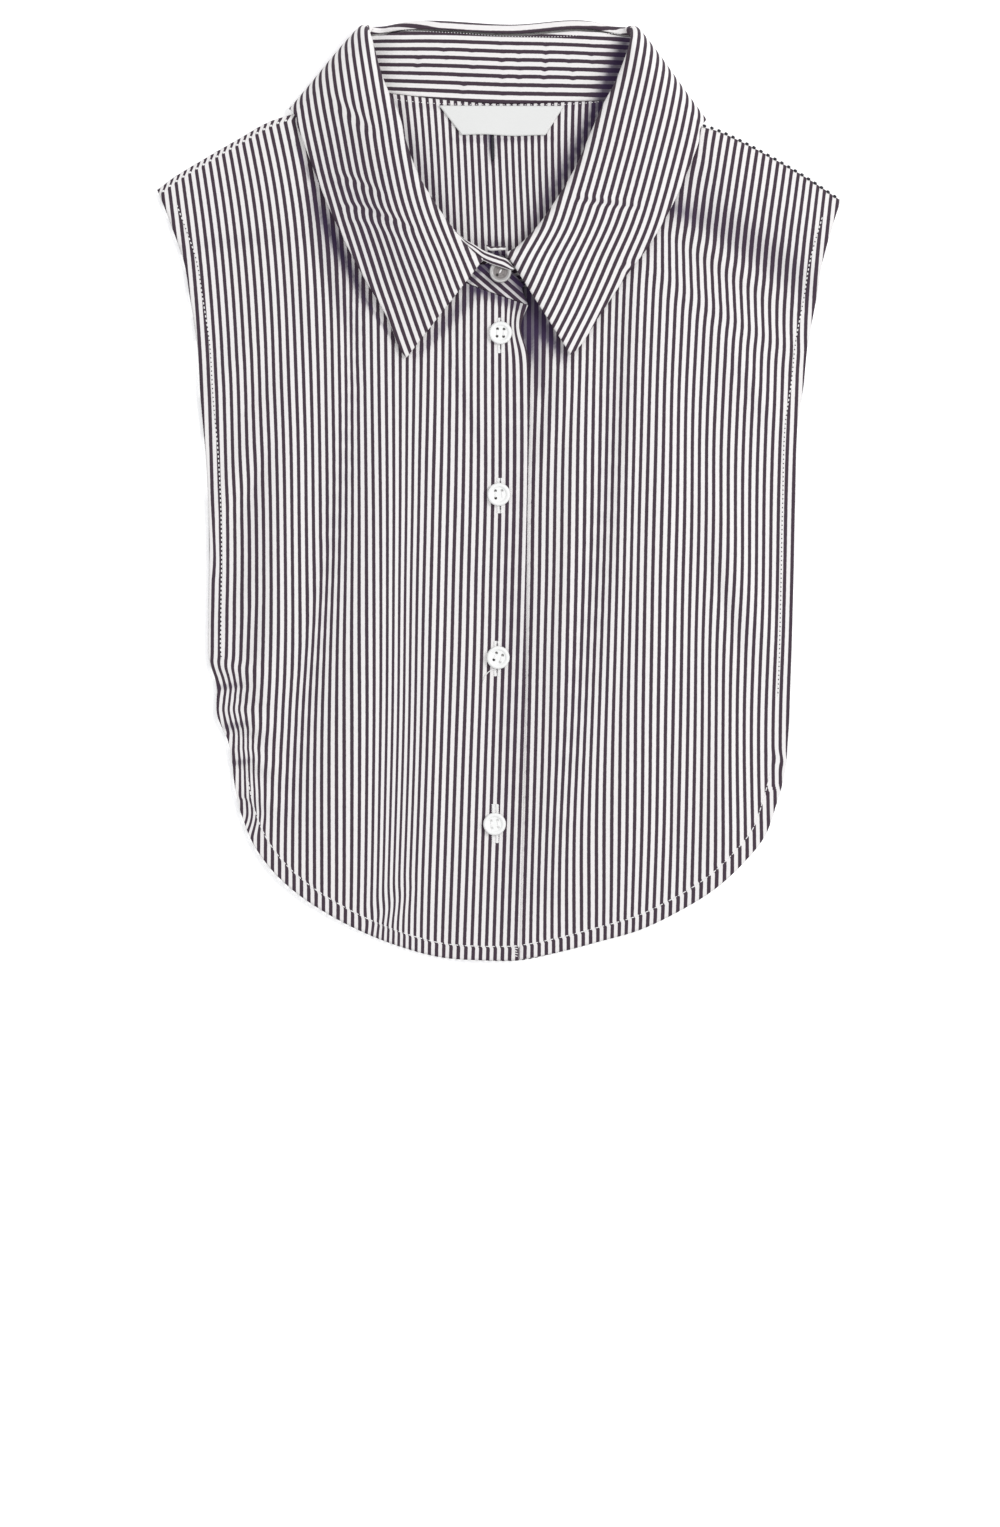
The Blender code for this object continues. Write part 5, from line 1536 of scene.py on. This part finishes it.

# %% [markdown]
# The shoulders are folded edges. On the left one each dark stripe ends over a white dot of thread, and on the
# right one in a small near-black mark, its dark stripe turning under the fold with painted shade. The places are
# where the edge crosses the stripes.

# %% Shoulder dots


def stripe_crossings(name, path, phase):
    """Points of a line where the stripes' count passes each whole number plus phase."""
    count = stripes(name, path[:, 0], path[:, 1]) - phase
    order = np.argsort(count)
    whole = np.arange(math.ceil(count.min()), math.floor(count.max()) + 1)
    return at_lengths(path[order], count[order], whole)


# The dark stripes' centres are at halves
DARK_PHASE = 0.5
# name: side, how far in, where it stops across, each mark's start and end, lift, radius, squash, finish
SHOULDER_MARKS = {
    "left_shoulder_dots": ("left", -1.5, 100.0, (-0.3, -0.3), (0.9, 0.2), 0.0, 0.5, 0.7, white_thread),
    "right_shoulder_stripe_ends": ("right", -0.3, 98.0, (-2.2, 1.6), (-0.6, 0.6), -0.2, 0.72, 0.8, near_black_shade),
}
for name, (side, inward, stop, start, end, lift, radius, squash, finish) in SHOULDER_MARKS.items():
    shoulder = LEFT_SHOULDER if side == "left" else RIGHT_SHOULDER
    fold = set_in(along(shoulder[:-2], SEAM_STEPS), inward)
    places = stripe_crossings(side + " front", fold, DARK_PHASE)
    places = places[np.abs(places[:, 0]) > stop]
    starts, ends = (on_front(places + way, side == "left", lift) for way in (start, end))
    sewn[side].append(stitch_row(name, starts, ends, radius, finish, squash))
# The dart's two ends in plan, and how high each lies on the back
DART = np.array([(-3.1, 170.2), (-2.9, 156.8)])
DART_LIFT = (1.7, 1.6)
starts, ends = (np.column_stack([end, rise(*end.T) + up]) for end, up in zip((DART[:1], DART[1:]), DART_LIFT))
# The dart's slit is drawn as a near-black strip: painted shade
dart = stitch_row("dart", starts, ends, 0.85, near_black_shade, 0.4)

# %% [markdown]
# The neck has two more rows: where the stand meets the back, and under the fold where the fall is set on. Both
# are short stitches that break up the dark stripe they run along.

# %% Seams of the neck
FALL_SEAM = [
    (-60.5, 219), (-51.9, 219.8), (-37.6, 219), (-18.6, 218.1), (0.5, 216.7), (6.7, 216.5), (26.7, 216.3),
    (38.6, 217.1), (48.1, 217.9), (60, 217.6),
]
NECK_SEAM = [
    (-51.9, 186.9), (-42.4, 185.6), (-32.9, 184.7), (-13.8, 184.1), (0.5, 183.9), (19.5, 183.9), (33.8, 184.2),
    (49.5, 185.5),
]
NECK_SEAM_STEPS = 160
# name: its line, and its stitches' pitch, share and radius
NECK_ROWS = {
    "fall_seam_stitches": (FALL_SEAM, 1.45, 0.45, 0.2),
    "neck_seam_stitches": (NECK_SEAM, 1.45, 0.5, 0.24),
}


def on_stand(line, lift=0.45):
    """A line in plan, raised onto the stand behind the neck."""
    line = np.asarray(line, float)
    behind = stand_points[:, is_inside(stand_rows)].reshape(-1, 3)
    gap = behind[None, :, :2] - line[:, None]
    near = np.hypot(gap[..., 0], gap[..., 1]).argmin(axis=1)
    return np.column_stack([line, behind[near, 2] + lift])


neck_rows = [
    stitch_row(name, *marks(on_stand(along(line, NECK_SEAM_STEPS)), pitch, share), radius, white_thread)
    for name, (line, pitch, share, radius) in NECK_ROWS.items()
]

# %% [markdown]
# Buttonholes are worked in satin stitch, so each is two columns of bars laid crosswise, side by side, with a slit
# between them and a bar across each end. The buttons' own threads cross their dishes.

# %% Buttonholes and button threads
BAR_STEP = 0.42
BAR_REACH = 1.75
SLIT_HALF = 0.16
BAR_END = 1.3
BAR_WOBBLE = 0.12
BAR_LIFT = 0.1
BAR_RADIUS = 0.27
THREAD_RADIUS = 0.42
TACK_RADIUS = 0.25
# A button's thread lies this far above its foot, and starts and ends this far from the middle of a hole it fills
THREAD_UP = 1.36
THREAD_FILL = 0.3
CORD_STEPS = 40
TAIL_LIFT = 0.45
TAIL_RADIUS = 0.24
# Each buttonhole's place across, its top and its bottom
BUTTONHOLES = ((0.8, 82.4, 65.9), (0.6, 6.2, -10.4), (-0.9, -71.5, -88.0), (-1.8, -149.2, -167.4))


def buttonhole_bars(x, top, bottom):
    """Starts and ends of a buttonhole's bars: a column on each side of the slit, which closes at both ends."""
    y = np.arange(bottom, top, BAR_STEP)
    end = np.minimum(y - bottom, top - y) < BAR_END
    inner = np.where(end, 0.0, SLIT_HALF)
    wobble = BAR_WOBBLE * np.sin(9.1 * y)
    starts = [(x - BAR_REACH + wobble, y), (x + inner, y)]
    ends = [(x - inner, y), (x + BAR_REACH + wobble, y)]
    return tuple(np.concatenate([np.stack(column, axis=1) for column in part]) for part in (starts, ends))


bars = zip(*(buttonhole_bars(*hole) for hole in BUTTONHOLES))
starts, ends = (on_front(np.concatenate(part), True, BAR_LIFT) for part in bars)
buttonholes = stitch_row("buttonholes", starts, ends, BAR_RADIUS, white_thread)
starts, ends = [], []
for place, _, turn, open_holes in FRONT_BUTTONS.values():
    up = button_foot(place) + THREAD_UP
    for top, bottom in ((0, 2), (1, 3)):
        for end, hole, fill in ((starts, top, -THREAD_FILL), (ends, bottom, THREAD_FILL)):
            x, y = HOLES[hole]
            x, y = turned(x, y + fill * open_holes[hole], math.radians(turn))
            end.append((x + place[0], y + place[1], up))
STAND_THREAD_UP = 2.0
for end, (across, upward) in ((starts, (-0.6, -0.9)), (ends, (0.5, 1.2))):
    end.append((STAND_BUTTON[0] + across, STAND_BUTTON[1] + upward, tab_height + STAND_THREAD_UP))
button_threads = stitch_row("button_threads", starts, ends, THREAD_RADIUS, white_thread)
TACKS = np.array([(7.2, -216.4), (7.4, -217.6), (7.1, -218.8), (7.4, -220.0), (7.2, -221.2)])
TACK_WAY = (1.7, -0.4)
tacks = stitch_row("placket_tacks", on_front(TACKS, True), on_front(TACKS + TACK_WAY, True), TACK_RADIUS, white_thread)


def cord(name, path, radius, finish):
    """A thread that lies free: a ring of points carried along a smooth line."""
    path = along(path, CORD_STEPS)
    way = unit(np.gradient(path, axis=0))
    side = unit(np.cross(way, [0.0, 0.0, 1.0]))
    lift = np.cross(side, way)
    turn = np.linspace(0, math.tau, RING, endpoint=False)
    points = path[:, None] + radius * (side[:, None] * np.cos(turn)[:, None] + lift[:, None] * np.sin(turn)[:, None])
    mesh = mesh_of(name, drawn_in(points).reshape(-1, 3), net_faces(len(path), RING, closed=True))
    return linked(name, mesh, finish)


TAIL = np.array([(-1.0, -84.4), (-3.6, -85.3), (-5.0, -86.2), (-6.6, -88.2), (-7.3, -90.0), (-7.7, -91.4)])
thread_tail = cord("thread_tail", on_front(TAIL, True, TAIL_LIFT), TAIL_RADIUS, white_thread)
print("sewing done")

# %% [markdown]
# The label is a bare woven patch, a little slanted at its sides, caught in the seam under the stand.

# %% Label
LABEL_CORNERS = [(-28.6, 183.5), (31.0, 183.3), (22.1, 169.4), (-17.7, 169.6)]
LABEL_NET = (48, 16)
LABEL_COLOUR = (0.79, 0.79, 0.775, 1.0)
LABEL_SHADE = (0.3, 0.3, 0.3, 1.0)
LABEL_WALL = 0.5
LABEL_LIFT = 0.45
# The lower edge waves by this much in plan, and stands off the back and waves by this much in height
LABEL_WAVE = 0.45
LABEL_STAND_OFF = 0.25
LABEL_WAVE_UP = 0.2
RIBS = 9.0


def woven_label(name):
    """Pale woven tape: fine ribs that only the light shows."""
    material, shader, start = new_material(name)
    flat = start.node("UVMap", {"uv_map": "flat_cloth"})
    across = start.node("SeparateXYZ", Vector=flat)
    up = Thread(start.tree, across.socket.node.outputs["Y"])
    ribs = (up * (math.tau * RIBS)).maths("SINE") * (across * (math.tau * RIBS)).maths("SINE")
    shade = read_number(start, "shade")
    bump = start.node("Bump", Strength=0.15, Distance=0.0001, Height=ribs)
    into(shader, Base_Color=mixed(shade, LABEL_COLOUR, LABEL_SHADE), Roughness=0.55, Normal=bump)
    return material


def label_net(across, down):
    """The patch's net: straight sides, and a lower edge that waves a little."""
    top_left, top_right, low_right, low_left = (np.array(c) for c in LABEL_CORNERS)
    u = np.linspace(0, 1, across + 1)[None, :, None]
    v = np.linspace(0, 1, down + 1)[:, None, None]
    plan = (1 - v) * ((1 - u) * low_left + u * low_right) + v * ((1 - u) * top_left + u * top_right)
    wave = np.sin(math.pi * u[..., 0]) * np.sin(2.1 * math.pi * u[..., 0] + 0.4) * (1 - v[..., 0])
    plan[..., 1] += LABEL_WAVE * wave
    z = rise(plan[..., 0], plan[..., 1]) + WALL + LABEL_LIFT + LABEL_STAND_OFF * (1 - v[..., 0]) + LABEL_WAVE_UP * wave
    return np.dstack([plan, z])


points = label_net(*LABEL_NET)
flat, shade = points[..., :2] / STRIPE_PITCH, np.zeros(points.shape[:2])
label = cloth("label_patch", points, flat, shade, woven_label("woven label"), wall=LABEL_WALL)
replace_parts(label, "label")

# %% [markdown]
# The floor is a plain pale table, wide enough to fill the picture.

# %% Floor
FLOOR_HALF = 3.0
TABLE = (0.97, 0.97, 0.97, 1.0)
TABLE_GLOW = (1.0, 1.0, 1.0, 1.0)

floor_mesh = bpy.data.meshes.new("floor")
corners = [(across * FLOOR_HALF, upward * FLOOR_HALF, 0) for across, upward in ((-1, -1), (1, -1), (1, 1), (-1, 1))]
floor_mesh.from_pydata(corners, [], [(0, 1, 2, 3)])
floor_finish, floor_shader, _ = new_material("pale table")
into(floor_shader, Base_Color=TABLE, Roughness=0.9, Emission_Color=TABLE_GLOW, Emission_Strength=0.3)
floor_mesh.materials.append(floor_finish)
floor = bpy.data.objects.new("floor", floor_mesh)
bpy.context.scene.collection.objects.link(floor)
print("floor set")
